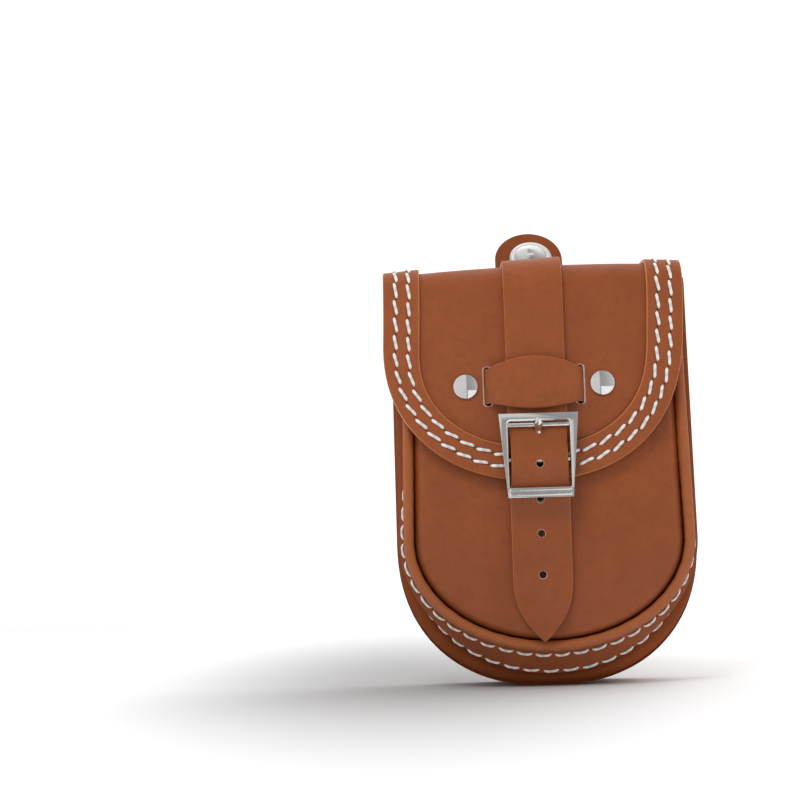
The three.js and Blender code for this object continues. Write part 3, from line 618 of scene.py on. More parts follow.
SIDE_STEPS, ROUND_STEPS = 56, 120
body_stations = stations(TOP_Z, SIDE_STEPS, ROUND_STEPS)
print("stations round the body:", len(body_stations[0]))

# %% [markdown]
# ## Stitches
#
# One stitch is a short round of thread whose two ends dive into the leather. It is modelled once,
# from a cylinder whose rings are moved on to a curve, and then copied along each seam at an even
# pitch. A hand never lays two stitches quite alike, so each copy is turned and stretched a little.

# %% One stitch, and rows of it
random.seed(11)


def stitch_form(length, width, height, sink, bend=0.0, around=8, rings=9):
    """Points, faces and UVs of a stitch along x, with its upper side towards z, in millimetres."""
    select_none()
    bpy.ops.mesh.primitive_cylinder_add(vertices=around, radius=1, depth=2, end_fill_type="NGON")
    form = bpy.context.object
    bpy.ops.object.mode_set(mode="EDIT")
    bpy.ops.mesh.select_all(action="DESELECT")
    mesh = bmesh.from_edit_mesh(form.data)
    uprights = [e for e in mesh.edges if abs(e.verts[0].co.z - e.verts[1].co.z) > 1]
    bmesh.ops.subdivide_edges(mesh, edges=uprights, cuts=rings - 2, use_grid_fill=True)
    layer = mesh.loops.layers.uv.verify()
    for face in mesh.faces:
        middle = face.calc_center_median()
        for loop in face.loops:
            turn = math.atan2(loop.vert.co.y, loop.vert.co.x) / math.tau + 0.5
            if abs(middle.z) < 0.99 and math.atan2(middle.y, middle.x) / math.tau + 0.5 - turn > 0.5:
                turn += 1
            loop[layer].uv = (loop.vert.co.z / 2 + 0.5, turn)
    for vert in mesh.verts:
        along, side, up = vert.co.z, vert.co.y, vert.co.x
        taper = 1 - 0.35 * abs(along) ** 6
        vert.co = Vector((
            along * length / 2,
            side * width / 2 * taper + bend * (1 - along**2),
            up * height / 2 * taper + height / 2 - sink * abs(along) ** 3.5,
        )) * MM
    bmesh.update_edit_mesh(form.data)
    bpy.ops.object.mode_set(mode="OBJECT")
    points = vertex_places(form) * MM
    faces = [tuple(p.vertices) for p in form.data.polygons]
    uvs = np.array([tuple(loop.uv) for loop in form.data.uv_layers[0].data])
    mesh = form.data
    bpy.data.objects.remove(form)
    bpy.data.meshes.remove(mesh)
    return points, faces, uvs


def unit(vectors):
    return vectors / np.maximum(np.linalg.norm(vectors, axis=-1, keepdims=True), 1e-9)


def spaced(path, normals, pitch, start=None, end=0.0):
    """Evenly spaced places along a path, with the directions along it and out of it."""
    steps = np.linalg.norm(np.diff(path, axis=0), axis=1)
    run = np.concatenate([[0], np.cumsum(steps)])
    first = pitch / 2 if start is None else start
    where = np.arange(first, run[-1] - end, pitch)
    at = np.stack([np.interp(where, run, path[:, k]) for k in range(3)], axis=1)
    ahead = np.stack([np.interp(where + 0.5, run, path[:, k]) for k in range(3)], axis=1)
    behind = np.stack([np.interp(where - 0.5, run, path[:, k]) for k in range(3)], axis=1)
    out = unit(np.stack([np.interp(where, run, normals[:, k]) for k in range(3)], axis=1))
    return at, unit(ahead - behind), out


def stitch_row(name, form, row, slant=0.0, jitter=0.05):
    """Copies of a stitch along a row, in one mesh."""
    points, faces, uvs = form
    at, along, out = row
    side = unit(np.cross(out, along))
    all_points, all_faces = [], []
    for i in range(len(at)):
        turn = slant + random.uniform(-jitter, jitter)
        x_way = along[i] * math.cos(turn) + side[i] * math.sin(turn)
        y_way = np.cross(out[i], x_way)
        size = random.uniform(0.94, 1.04)
        offset = at[i] * MM + side[i] * MM * random.uniform(-0.12, 0.12)
        local = points * (size, 1, 1)
        all_points.append(offset + local @ np.stack([x_way, y_way, out[i]]))
        all_faces.extend(tuple(v + i * len(points) for v in face) for face in faces)
    mesh = bpy.data.meshes.new(name)
    mesh.from_pydata(np.concatenate(all_points).tolist(), [], all_faces)
    layer = mesh.uv_layers.new(name="thread")
    layer.data.foreach_set("uv", np.tile(uvs, (len(at), 1)).astype(np.float32).ravel())
    mesh.validate()
    thread = bpy.data.objects.new(name, mesh)
    bpy.context.scene.collection.objects.link(thread)
    smooth(thread, 60)
    finish_piece(thread, THREAD)
    print(name, "stitches:", len(at))
    return thread


def stitch_ends(row, length):
    """Where the thread of a row goes into the leather."""
    at, along, _ = row
    return np.concatenate([at - along * length / 2, at + along * length / 2])


def pierce(piece, ends, radius=0.6, depth=0.45):
    """Dents a piece where an awl went in, and paints the dents."""
    tree = tree_of(ends)
    places = vertex_places(piece)
    normals = np.zeros(len(places) * 3)
    piece.data.vertices.foreach_get("normal", normals)
    gaps = np.array([tree.find(place)[2] for place in places])
    dent = np.exp(-((gaps / radius) ** 2))
    places -= normals.reshape(-1, 3) * (depth * dent)[:, None]
    piece.data.vertices.foreach_set("co", (places * MM).ravel())
    piece.data.update()
    # The dents are painted dark: painted shade in the awl holes.
    paint(piece, "hole", dent * 1.1)


SEAM_FORM = stitch_form(length=7.9, width=1.4, height=1.15, sink=0.95, bend=-0.4)
LAP_FORM = stitch_form(length=7.9, width=1.45, height=1.1, sink=0.9, bend=-0.15)
FLAP_FORM = stitch_form(length=7.8, width=1.6, height=1.15, sink=0.95)

# %% [markdown]
# ## The front panel
#
# The panel is softly domed, as if pressed over a form, and rolls into the groove along the bead.
# Lines run from its middle to every station of its edge, and the depth at each place comes from one
# rule. The pole where those lines meet lies under the strap.

# %% Front panel
STRAP_X, STRAP_HOLES = -4.3, (110.7, 94.1, 75.6, 55.9)
PANEL = {
    "half": 67.3, "drop": 50.2, "top": 200.0, "crown": 3.4, "flat_z": 148.0, "full_z": 103.0,
    "proud": 0.2, "sunk": 0.5, "valley": 5.0, "shoulder": 0.075,
}


def panel_depth(x, z):
    """The panel's outer face, measured from the crest plane."""
    half = PANEL["half"] - BEAD["taper"] * np.maximum(0, z - CENTRE_Z)
    reach = np.hypot(x / half, np.maximum(0, CENTRE_Z - z) / PANEL["drop"])
    roll = np.clip((reach - 1 + PANEL["shoulder"]) / PANEL["shoulder"], 0, 1)
    upper = np.clip((PANEL["flat_z"] - z) / (PANEL["flat_z"] - PANEL["full_z"]), 0, 1)
    full = -PANEL["proud"] - PANEL["crown"] * (1 - reach**2.6)
    middle = PANEL["sunk"] + (full - PANEL["sunk"]) * upper
    return middle + (PANEL["valley"] - middle) * roll**2.3


def hand_waves(x, z, size):
    """The slow unevenness of hand-worked leather."""
    return size * (np.sin(x / 14.3 + z / 37.0 + 1.1) + np.sin(z / 12.1 - x / 41.0) * 0.8
                   + np.sin((x + z) / 8.7 + 2.0) * 0.35)


def darken_under_holes(piece):
    """Paints what lies under the strap's holes, where little light comes."""
    places = vertex_places(piece)
    gaps = [np.hypot(places[:, 0] - STRAP_X, places[:, 2] - z) for z in STRAP_HOLES]
    paint(piece, "hole", np.exp(-((np.min(gaps, axis=0) / 2.8) ** 4)))


WINDOW_Z = 114  # the middle of the buckle's window
WINDOW_SHADE = {"half": 15.3, "rise": 17.5, "depth": 0.9}


def in_the_window(places):
    """How far places lie behind the buckle's window. They are painted darker, to deepen its shade."""
    aside = (places[:, 0] - STRAP_X) / WINDOW_SHADE["half"]
    high = (places[:, 2] - WINDOW_Z) / WINDOW_SHADE["rise"]
    return WINDOW_SHADE["depth"] * np.exp(-(aside**12)) * np.exp(-(high**12))


def front_panel():
    across, down, rise = stations(PANEL["top"], 50, 120)
    half = PANEL["half"] - BEAD["taper"] * rise
    edge_x = across * half
    edge_z = CENTRE_Z + rise - PANEL["drop"] * down
    middle_z = CENTRE_Z + rise
    share = 1 - (1 - np.linspace(0, 1, 64)) ** 1.5
    x = edge_x[:, None] * share
    z = middle_z[:, None] + (edge_z - middle_z)[:, None] * share
    y = crest(z) + panel_depth(x, z) + hand_waves(x, z, 0.16) * (1 - share**4)
    piece = laid_grid("domed_front_panel", np.stack([x, y, z], axis=-1), closed=False)
    facing = sum(p.normal.y * p.area for p in piece.data.polygons)
    if facing > 0:
        piece.data.flip_normals()
    places = vertex_places(piece)
    reach = np.hypot(places[:, 0] / PANEL["half"], np.maximum(0, CENTRE_Z - places[:, 2]) / PANEL["drop"])
    # Painted shade: darker where the panel rolls into the groove, and behind the buckle's window.
    groove = np.clip((reach - 0.966) / 0.03, 0, 1) * 0.8
    paint(piece, "shade", np.maximum(groove, in_the_window(places)))
    darken_under_holes(piece)
    apply_modifier(piece, "SOLIDIFY", thickness=LEATHER * MM, offset=-1)
    smooth(piece, 50)
    return finish_piece(piece, PANEL_LEATHER, ["front_panel"])


front_panel()

# %% [markdown]
# ## The gussets
#
# The front gusset is turned over at the front into a round bead, a little over 5 mm thick, and it
# is stitched right behind it. Its cut edge lies on the rear gusset, which comes out
# from under it and swells to the bag's full width. Both are lofts: one section, carried round every
# station. The bottom is pressed flat where the bag stands.

# %% Front gusset with its bead
SEAM_PITCH = 9.4


def between(low, high, share):
    return low + (high - low) * share


def bead_rings(steps):
    angle = np.linspace(-0.6, math.pi * 0.94, steps)
    outward = -BEAD["radius"] * np.cos(angle)
    depth = BEAD["depth"] - BEAD["radius"] * np.sin(angle)
    ones = np.ones(steps)
    return np.stack([depth, BEAD["half"] + outward, depth, BEAD["drop"] + outward, 2 * ones,
                     BEAD["taper"] * ones, 0 * ones], axis=1)


def rounded_edge(face, back, radius, steps=4):
    """Rings from a cut edge on to the face that ends there, round the corner between them."""
    corner = np.linspace(0, math.pi / 2, steps + 1)
    share = radius / (np.linalg.norm(face[0, :4] - back[0, :4]) / math.sqrt(2))
    inward = (face[1] - face[0]) / np.linalg.norm((face[1] - face[0])[:2]) * radius
    return np.array([
        between(face[0], back[0], share * (1 - math.sin(turn))) + inward * (1 - math.cos(turn))
        for turn in corner
    ])


def front_gusset_section():
    """The rings in order, and the number of the first one on the cut edge."""
    valley = np.array([(4.9, 72.2, 4.0, 55.7, 2.01, 0.034, 0)])
    face = finer(np.vstack([valley, SKIN[1:]]), 6)
    under = moved_out(face, -LEATHER)
    inside = moved_out(SKIN, -LEATHER)
    root, start = inside[0].copy(), inside[0].copy()
    root[:4] = 7.4, root[1] - 1.9, 7.2, root[3] - 1.7
    start[0] += 4.2
    start[2] += 2.6
    inner = [between(root, start, i / 7) for i in range(7)]
    inner += [between(start, inside[2], 0.45), *inside[2:4]]
    outer = np.vstack([bead_rings(26), face[:-2], rounded_edge(face[::-1], under[::-1], 0.8)[::-1]])
    lower = rounded_edge(under[::-1], face[::-1], 0.5)
    return np.vstack([outer, lower, np.array(inner)[::-1], outer[:1]]), len(outer)


def seam(rings, index, lift):
    """A path on a section at one of its rings, lifted off it, with the directions out of it."""
    step = 0.35
    table = np.stack([
        between(rings[index], rings[index - 1], step),
        rings[index],
        between(rings[index], rings[index + 1], step),
    ])
    points = ring_points(table, stations(TOP_Z, 200, 600))
    along = np.gradient(points[:, 1], axis=0)
    out = unit(np.cross(along, points[:, 2] - points[:, 0]))
    away = points[:, 1] - (0, points[:, 1, 1].mean(), CENTRE_Z + 40)
    away[:, 1] = 0
    out *= np.sign(np.sum(out * away, axis=1).mean())
    return points[:, 1] + out * lift, out


def up_the_side(points):
    """0 under the bottom and 1 up the sides, for each station."""
    return eased((points[:, :1, 2] - 22) / 45)


def front_gusset():
    rings, edge = front_gusset_section()
    points = ring_points(rings, body_stations)
    middle = points[:, 5:21].mean(axis=1)
    run = np.concatenate([[0], np.cumsum(np.linalg.norm(np.diff(middle, axis=0), axis=1))])
    pinched = 1 - 0.05 * np.cos(run / SEAM_PITCH * math.tau + 0.6 * np.sin(run / 31))
    points[:, 2:24] = middle[:, None] + (points[:, 2:24] - middle[:, None]) * pinched[:, None, None]
    piece = laid_grid("front_gusset_with_bead", points)
    # Painted shade: dark in the groove behind the bead, and on the strip beyond it, more up the sides.
    shade = np.zeros(points.shape[:2])
    shade[:, :6] = np.linspace(1, 0, 6)
    upright = up_the_side(points)
    shade[:, 25:29] = 0.16 + 0.2 * upright
    shade[:, 29:edge + 3] = np.minimum(0.2, 0.08 + np.arange(edge - 26) * 0.02) + 0.24 * upright
    shade[:, edge - 2:edge + 2] = 0
    paint_like(piece, "shade", points.reshape(-1, 3), shade.ravel())
    # The bead's front gets a little of the burnished colour: part wear, part painted highlight on its round.
    paint_columns(piece, "edge", points, (slice(6, 23), 0.5), (slice(edge - 4, edge + 3), 1))
    smooth(piece, 50)
    return piece, rings, edge


bead_gusset, bead_section, bead_edge = front_gusset()
front_row = spaced(*seam(bead_section, 31, -0.1), SEAM_PITCH)
lap_row = spaced(*seam(bead_section, bead_edge - 6, -0.1), SEAM_PITCH + 0.5, start=2.2)
pierce(bead_gusset, np.vstack([stitch_ends(front_row, 7.3), stitch_ends(lap_row, 7.3)]), depth=0.45)
finish_piece(bead_gusset, BORDER_LEATHER, ["gusset_front"])
stitch_row("bead_seam_stitches", SEAM_FORM, front_row, slant=0.06)
stitch_row("lap_seam_stitches", LAP_FORM, lap_row, slant=0.06)

# %% Rear gusset
LAP_ROW = 3


def rear_gusset():
    """A known fault: near the top it runs up to 3.3 mm past its rear end, and folds back in two fins."""
    hidden = moved_out(SKIN, -LEATHER - GAP)[LAP_ROW:]
    outer = finer(np.vstack([hidden, REAR]), 6)
    section = np.vstack([outer, moved_out(outer, -LEATHER)[::-1], outer[:1]])
    points = ring_points(section, body_stations)
    piece = laid_grid("rear_gusset", points)
    # Painted shade: dark where it lies under the front gusset's edge, fading behind it, and more up the
    # sides.
    shade = np.zeros(points.shape[:2])
    shade[:, :11] = 0.8
    upright = up_the_side(points)
    shade[:, 11:17] = np.linspace(0.6, 0, 6)
    shade[:, 11:] = np.maximum(shade[:, 11:], 0.28 * upright)
    paint_like(piece, "shade", points.reshape(-1, 3), shade.ravel())
    smooth(piece, 50)
    return finish_piece(piece, GUSSET_LEATHER, ["gusset_rear"])


rear_gusset()

# %% [markdown]
# ## The back panel
#
# The back is one flat piece with the same outline as the rear gusset, sewn to it all round. It is
# laid like the front panel, but flat, and its edges are rounded with a bevel.

# %% Back panel
def turned_edge(piece, width=0.8, segments=3, angle=50):
    """Rounds the sharp edges of a piece."""
    apply_modifier(piece, "BEVEL", width=width * MM, segments=segments, limit_method="ANGLE",
                   angle_limit=math.radians(angle))


BACK_TOP_Z = 201.5
BACK_SEAM_INSET = 6.2


def back_outline(inset):
    ring = REAR[-1:].copy()
    ring[:, [1, 3]] -= inset
    return ring_points(ring, stations(BACK_TOP_Z - inset, 48, 140))[:, 0]


def back_panel():
    outline = back_outline(0.0)
    middle = np.stack([0 * outline[:, 0], outline[:, 1], np.maximum(outline[:, 2], CENTRE_Z)], axis=1)
    share = (1 - (1 - np.linspace(0, 1, 40)) ** 1.3)[None, :, None]
    points = middle[:, None] + (outline - middle)[:, None] * share
    points[..., 1] = BACK_Y
    points[..., 1] += hand_waves(points[..., 0], points[..., 2], 0.12) * (1 - share[..., 0] ** 4)
    piece = laid_grid("back_panel_leather", points, closed=False)
    if sum(p.normal.y * p.area for p in piece.data.polygons) < 0:
        piece.data.flip_normals()
    apply_modifier(piece, "SOLIDIFY", thickness=LEATHER * MM, offset=-1)
    turned_edge(piece)
    return piece


back = back_panel()
back_line = back_outline(BACK_SEAM_INSET)
back_line[:, 1] = BACK_Y + 0.05
back_row = spaced(back_line, np.tile((0.0, 1.0, 0.0), (len(back_line), 1)), SEAM_PITCH)
pierce(back, stitch_ends(back_row, 7.4), depth=0.35)
smooth(back, 50)
finish_piece(back, GUSSET_LEATHER, ["back_panel"])
stitch_row("back_seam_stitches", SEAM_FORM, back_row, slant=0.06)

# %% [markdown]
# ## The flap
#
# Flap, straps and buckle share three axes: across, up the flap's front, and lift out of it. Seen
# from the side the flap is a folded line, made of straight legs and round turns, and a place on
# the flat leather is found on it by its distance from the flap's lower edge. The piece is laid as
# a slab: lines run from a spine to the edge, over the edge, and back underneath.

# %% The closure's axes and the flap's fold
FLAP = {
    "shift": -5.3, "half": 75.0, "drop": 71.0, "square": 2.2, "bottom": 102.6, "depth": -7.2,
    "top": 212.4, "lean": math.radians(3.5), "front_radius": 15.0, "back_radius": 11.0,
    "back_length": 30.0, "crown": 3.9,
}
FLAP_Y = crest(FLAP["bottom"]) + FLAP["depth"]


STRAP_ASIDE = 1.0
SLOPE = 0.014


def on_closure(x, up, lift):
    lean = FLAP["lean"]
    y = FLAP_Y + up * math.sin(lean) - lift * math.cos(lean)
    z = FLAP["bottom"] + up * math.cos(lean) + lift * math.sin(lean)
    return np.stack(np.broadcast_arrays(x + FLAP["shift"], y, z), axis=-1)


def on_strap(x, up, lift):
    """The same axes for the strap and the buckle, which lie a millimetre to the right."""
    return on_closure(x + STRAP_ASIDE, up, lift)


def up_flap(z):
    return (np.asarray(z, float) - FLAP["bottom"]) / math.cos(FLAP["lean"])


def folded_line(legs):
    """Legs are (length, 0) or (angle, radius). Each row: distance, up, lift, heading, radius."""
    table, distance, up, lift, heading = [], 0.0, 0.0, 0.0, 0.0
    for size, radius in legs:
        table.append((distance, up, lift, heading, radius))
        if radius:
            up += radius * (math.sin(heading + size) - math.sin(heading))
            lift += radius * (math.cos(heading + size) - math.cos(heading))
            heading += size
            distance += radius * size
        else:
            up += size * math.cos(heading)
            lift -= size * math.sin(heading)
            distance += size
    return np.array(table), distance


def on_line(line, distance):
    """Up, lift and heading at a distance along a folded line."""
    distance = np.asarray(distance, float)
    leg = line[np.clip(np.searchsorted(line[:, 0], distance, side="right") - 1, 0, None)]
    start, up, lift, heading, radius = np.moveaxis(leg, -1, 0)
    along = distance - start
    turned = heading + np.where(radius > 0, along / np.where(radius > 0, radius, 1), 0)
    up = up + np.where(radius > 0, radius * (np.sin(turned) - np.sin(heading)), along * np.cos(heading))
    lift = lift + np.where(radius > 0, radius * (np.cos(turned) - np.cos(heading)), -along * np.sin(heading))
    return up, lift, turned


def flap_fold():
    lean, front, back = FLAP["lean"], FLAP["front_radius"], FLAP["back_radius"]
    length = (FLAP["top"] - FLAP["bottom"] - front * (1 - math.sin(lean))) / math.cos(lean)
    turn_y = FLAP_Y + length * math.sin(lean) + front * math.cos(lean)
    top = BACK_Y + GAP + LEATHER - back - turn_y
    return folded_line([
        (length, 0), (math.pi / 2 - lean, front), (top, 0), (math.pi / 2, back), (FLAP["back_length"], 0),
    ])


FLAP_LINE, FLAP_LENGTH = flap_fold()


def on_flap(x, distance, lift):
    x, distance, lift = np.broadcast_arrays(np.asarray(x, float), distance, lift)
    up, base, heading = on_line(FLAP_LINE, distance)
    past = np.clip((distance - FLAP_LINE[1, 0]) / (FLAP_LINE[4, 0] - FLAP_LINE[1, 0]), 0, 1)
    crown = FLAP["crown"] * (1 - eased(past**0.8)) * (x / FLAP["half"]) ** 2
    waves = hand_waves(x, distance, 0.1) * eased((np.abs(x) - 17) / 14)
    raised = lift - crown + waves
    high = eased((distance - 32) / 70)
    aside = (2.1 + 0.5 * x / FLAP["half"]) * high - 0.9
    return on_closure(x + aside, up + np.sin(heading) * raised, base + np.cos(heading) * raised) + np.stack(
        [0 * x, 0 * x, x * between(-0.016, SLOPE, high)], axis=-1)


print("flap from edge to edge:", round(FLAP_LENGTH, 1), "mm")

# %% Slabs of leather
def slab_section(thickness, front=0.9, back=0.6, steps=4, far=34, near=12):
    """Rows of (share of the way in, distance in, height) from a spine, over the edge and back."""
    turn = np.linspace(0, math.pi / 2, steps + 1)
    way = np.linspace(1, 0, far) ** 1.35
    under = np.linspace(0, 1, near)[1:] ** 1.35
    rows = [(share, front, 0) for share in way]
    rows += [(0, front * (1 - math.sin(t)), -front * (1 - math.cos(t))) for t in turn[1:]]
    rows += [(0, back * (1 - math.cos(t)), -thickness + back * (1 - math.sin(t))) for t in turn]
    rows += [(share, back, -thickness) for share in under]
    return np.array(rows)


def round_outline(half, drop, square, length, side_steps, round_steps):
    """Edge places (across, distance) of a sheet with one round end, and their middles."""
    angle = np.linspace(0, math.pi, round_steps + 1)
    missing = np.abs(np.sin(angle)) ** (2 / square)
    x = -np.sign(np.cos(angle)) * np.abs(np.cos(angle)) ** (2 / square) * half
    sides = np.linspace(length, drop, side_steps, endpoint=False)
    edge = np.concatenate([
        np.stack([0 * sides - half, sides], axis=1),
        np.stack([x, drop * (1 - missing)], axis=1),
        np.stack([0 * sides + half, sides], axis=1)[::-1],
    ])
    middle = np.stack([0 * edge[:, 0], np.maximum(edge[:, 1], drop)], axis=1)
    return edge, middle


def laid_slab(name, outline, section, place):
    edge, middle = outline
    away = middle - edge
    reach = np.linalg.norm(away, axis=1)[:, None]
    inward = section[:, 1] + section[:, 0] * (reach - section[:, 1])
    spots = edge[:, None] + (away / reach)[:, None] * inward[..., None]
    points = place(spots[..., 0], spots[..., 1], section[:, 2])
    piece = laid_grid(name, points)
    height = section[:, 2]
    cut = (section[:, 0] == 0) & (height < -0.15) & (height > height.min() + 0.1)
    paint_columns(piece, "edge", points, (cut, 1))
    return piece


# %% Holes
def bored(piece, cutters):
    """Cuts the cutters out of a piece, and paints the cut faces as raw fibre."""
    for cutter in cutters:
        select_only(piece)
        own, raw = plain_material("own", (1, 1, 1), 1), plain_material("cut", (1, 1, 1), 1)
        piece.data.materials.clear()
        piece.data.materials.append(own)
        cutter.data.materials.append(raw)
        if piece.data.attributes.get("raw") is None:
            piece.data.attributes.new("raw", "FLOAT", "FACE")
        apply_modifier(piece, "BOOLEAN", object=cutter, operation="DIFFERENCE", solver="EXACT",
                       material_mode="TRANSFER")
        flags = np.zeros(len(piece.data.polygons), int)
        piece.data.polygons.foreach_get("material_index", flags)
        values = np.zeros(len(flags))
        raw_faces = piece.data.attributes["raw"].data
        raw_faces.foreach_get("value", values)
        raw_faces.foreach_set("value", np.maximum(values, flags > 0).astype(np.float32))
        mesh = cutter.data
        bpy.data.objects.remove(cutter)
        bpy.data.meshes.remove(mesh)
        piece.data.materials.clear()
        for used in (own, raw):
            bpy.data.materials.remove(used)
        piece.data.polygons.foreach_set("material_index", np.zeros(len(flags), np.int32))
    bpy.ops.object.mode_set(mode="EDIT")
    bpy.ops.mesh.select_all(action="SELECT")
    bpy.ops.mesh.remove_doubles(threshold=0.00001)
    bpy.ops.mesh.dissolve_degenerate(threshold=0.000005)
    close_open_edges()
    bpy.ops.object.mode_set(mode="OBJECT")
    return piece


def turned(name, profile, vertices=48):
    """A shape turned on a lathe: a circle is extruded and resized from radius to radius."""
    select_none()
    (radius, height), *rest = profile
    start = max(radius, 0.02)
    bpy.ops.mesh.primitive_circle_add(vertices=vertices, radius=start * MM, fill_type="NGON",
                                      location=(0, 0, height * MM))
    piece = bpy.context.object
    bpy.ops.object.transform_apply(location=True)
    bpy.ops.object.mode_set(mode="EDIT")
    bpy.ops.mesh.select_all(action="SELECT")
    bpy.ops.mesh.select_mode(type="EDGE")
    bpy.ops.mesh.delete(type="ONLY_FACE")
    bpy.ops.mesh.select_all(action="SELECT")
    for radius, next_height in rest:
        radius = max(radius, 0.02)
        bpy.ops.mesh.extrude_edges_move(TRANSFORM_OT_translate={"value": (0, 0, (next_height - height) * MM)})
        bpy.ops.transform.resize(value=(radius / start, radius / start, 1), center_override=(0, 0, 0))
        start, height = radius, next_height
    bpy.ops.mesh.select_all(action="SELECT")
    bpy.ops.mesh.remove_doubles(threshold=0.000001)
    bpy.ops.mesh.select_all(action="DESELECT")
    bpy.ops.mesh.select_non_manifold(extend=False)
    bpy.ops.mesh.fill_holes(sides=0)
    face_outwards()
    bpy.ops.object.mode_set(mode="OBJECT")
    piece.name = name
    piece.data.name = name
    return piece


def stood(piece, place, normal, side=(1.0, 0.0, 0.0)):
    """Stands a shape that was made upright at a place, with its axis along a normal."""
    z_way = Vector(normal).normalized()
    x_way = (Vector(side) - z_way * Vector(side).dot(z_way)).normalized()
    turn = Matrix((x_way, z_way.cross(x_way), z_way)).transposed().to_4x4()
    piece.data.transform(Matrix.Translation(Vector(place) * MM) @ turn)
    piece.data.update()
    return piece


OUT = on_closure(0, 0, 1) - on_closure(0, 0, 0)
UP = on_closure(0, 1, 0) - on_closure(0, 0, 0)
KEEPER = {
    "z": 150.3, "end_half": 8.7, "arch_half": 13.2, "band_half": 21.5, "slit_x": 23.15,
    "slit_width": 3.5, "slit_length": 19.6, "thickness": 2.4,
}
RIVET = {"x": 34.2, "z": 150.5, "radius": 6.2, "hole": 2.4}


def slit_cutter(side):
    """A flat-sided slot with round ends, flared where it meets the leather's face."""
    select_none()
    bpy.ops.mesh.primitive_circle_add(vertices=24, radius=KEEPER["slit_width"] / 2 * MM, fill_type="NGON")
    cutter = bpy.context.object
    bpy.ops.object.mode_set(mode="EDIT")
    mesh = bmesh.from_edit_mesh(cutter.data)
    stretch = (KEEPER["slit_length"] - KEEPER["slit_width"]) / 2 * MM
    for vert in mesh.verts:
        vert.co.y += math.copysign(stretch, vert.co.y + 1e-9)
    bmesh.update_edit_mesh(cutter.data)
    for height, grow in ((4.0, 1.0), (1.1, 1.55), (6.0, 1.6)):
        bpy.ops.mesh.extrude_region_move(TRANSFORM_OT_translate={"value": (0, 0, height * MM)})
        bpy.ops.transform.resize(value=(grow, 1 + (grow - 1) * 0.1, 1), center_override=(0, 0, 0))
    face_outwards()
    bpy.ops.object.mode_set(mode="OBJECT")
    x = side * KEEPER["slit_x"]
    sag = FLAP["crown"] * (x / FLAP["half"]) ** 2
    return stood(cutter, on_closure(x, up_flap(KEEPER["z"]), -5.0 - sag), OUT)


def rivet_bores(low, high):
    """Cutters for the holes that the two rivets go through."""
    bores = []
    for side in (-1, 1):
        bore = turned("bore", [(RIVET["hole"], low), (RIVET["hole"], high)], 24)
        bores.append(stood(bore, on_closure(side * RIVET["x"], up_flap(RIVET["z"]), 0), OUT))
    return bores


def flap():
    outline = round_outline(FLAP["half"], FLAP["drop"], FLAP["square"], FLAP_LENGTH, 110, 150)
    piece = laid_slab("round_flap", outline, slab_section(LEATHER), on_flap)
    bored(piece, [slit_cutter(-1), slit_cutter(1), *rivet_bores(-9, 6)])
    paint(piece, "shade", in_the_window(vertex_places(piece)))
    smooth(piece, 40)
    return finish_piece(piece, PANEL_LEATHER, ["flap"])


flap()

# %% [markdown]
# ## The border
#
# A second layer runs along the flap's edge and carries two rows of stitches. Seven that would lie
# behind the buckle and the strap are left out, although real rows probably run on there. Each row
# lies in a shallow groove. The section across the strip holds both grooves, and it is carried along
# the edge in steps of less than a millimetre, so that the awl holes can be dented into it.

# %% Border strip
BORDER = {
    "width": 17.0, "thickness": 2.0, "rows": (5.8, 11.8), "pitch": 8.9,
    "bare_half": 16.0, "bare_top_z": 150,  # no stitches so near the strap, and lower than this
}


def even_edge(step):
    """Places along the flap's edge at even steps, and the way inwards from each."""
    edge, _ = round_outline(FLAP["half"], FLAP["drop"], FLAP["square"], FLAP_LENGTH, 260, 900)
    run = np.concatenate([[0], np.cumsum(np.linalg.norm(np.diff(edge, axis=0), axis=1))])
    where = np.linspace(0, run[-1], int(run[-1] / step))
    spots = np.stack([np.interp(where, run, edge[:, k]) for k in range(2)], axis=1)
    way = unit(np.gradient(spots, axis=0))
    return spots, np.stack([-way[:, 1], way[:, 0]], axis=1)


def border_section():
    """Rows of (distance in, height): up the inner edge, across the top, down the outer edge."""
    width, low, high = BORDER["width"], GAP, GAP + BORDER["thickness"]
    turn = np.linspace(0, math.pi / 2, 5)
    inner = [(width - 0.7 * (1 - math.cos(t)), high - 0.7 + 0.7 * math.sin(t)) for t in turn]
    top = []
    for inward in np.arange(width - 1.0, 1.0, -0.36):
        groove = sum(math.exp(-(((inward - row) / 0.95) ** 4)) for row in BORDER["rows"])
        top.append((inward, high - 0.32 * groove))
    outer = [(0.8 * (1 - math.sin(t)), high - 0.8 * (1 - math.cos(t))) for t in turn]
    under = [(inward, low) for inward in np.linspace(0.3, width - 0.3, 8)]
    return np.array([*inner, *top, *outer, (0, low + 0.1), *under, (width, low + 0.2), inner[0]])


edge_spots, edge_inward = even_edge(0.85)
if edge_inward[len(edge_inward) // 2, 1] < 0:
    edge_inward = -edge_inward


def on_border(inward, lift):
    """A place on the border. It is cut a little wider towards the top."""
    wider = 1 + 0.08 * eased((edge_spots[:, 1:] - 32) / 42)
    spots = edge_spots + edge_inward * inward * wider
    return on_flap(spots[:, 0], spots[:, 1], lift)


def border():
    section = border_section()
    points = np.stack([on_border(inward, lift) for inward, lift in section], axis=1)
    piece = laid_grid("flap_border_strip", points)
    sides = (section[:, 0] > BORDER["width"] - 0.65) | (section[:, 0] < 0.45)
    paint_columns(piece, "edge", points, (sides, 1))
    paint(piece, "shade", in_the_window(vertex_places(piece)))
    return piece


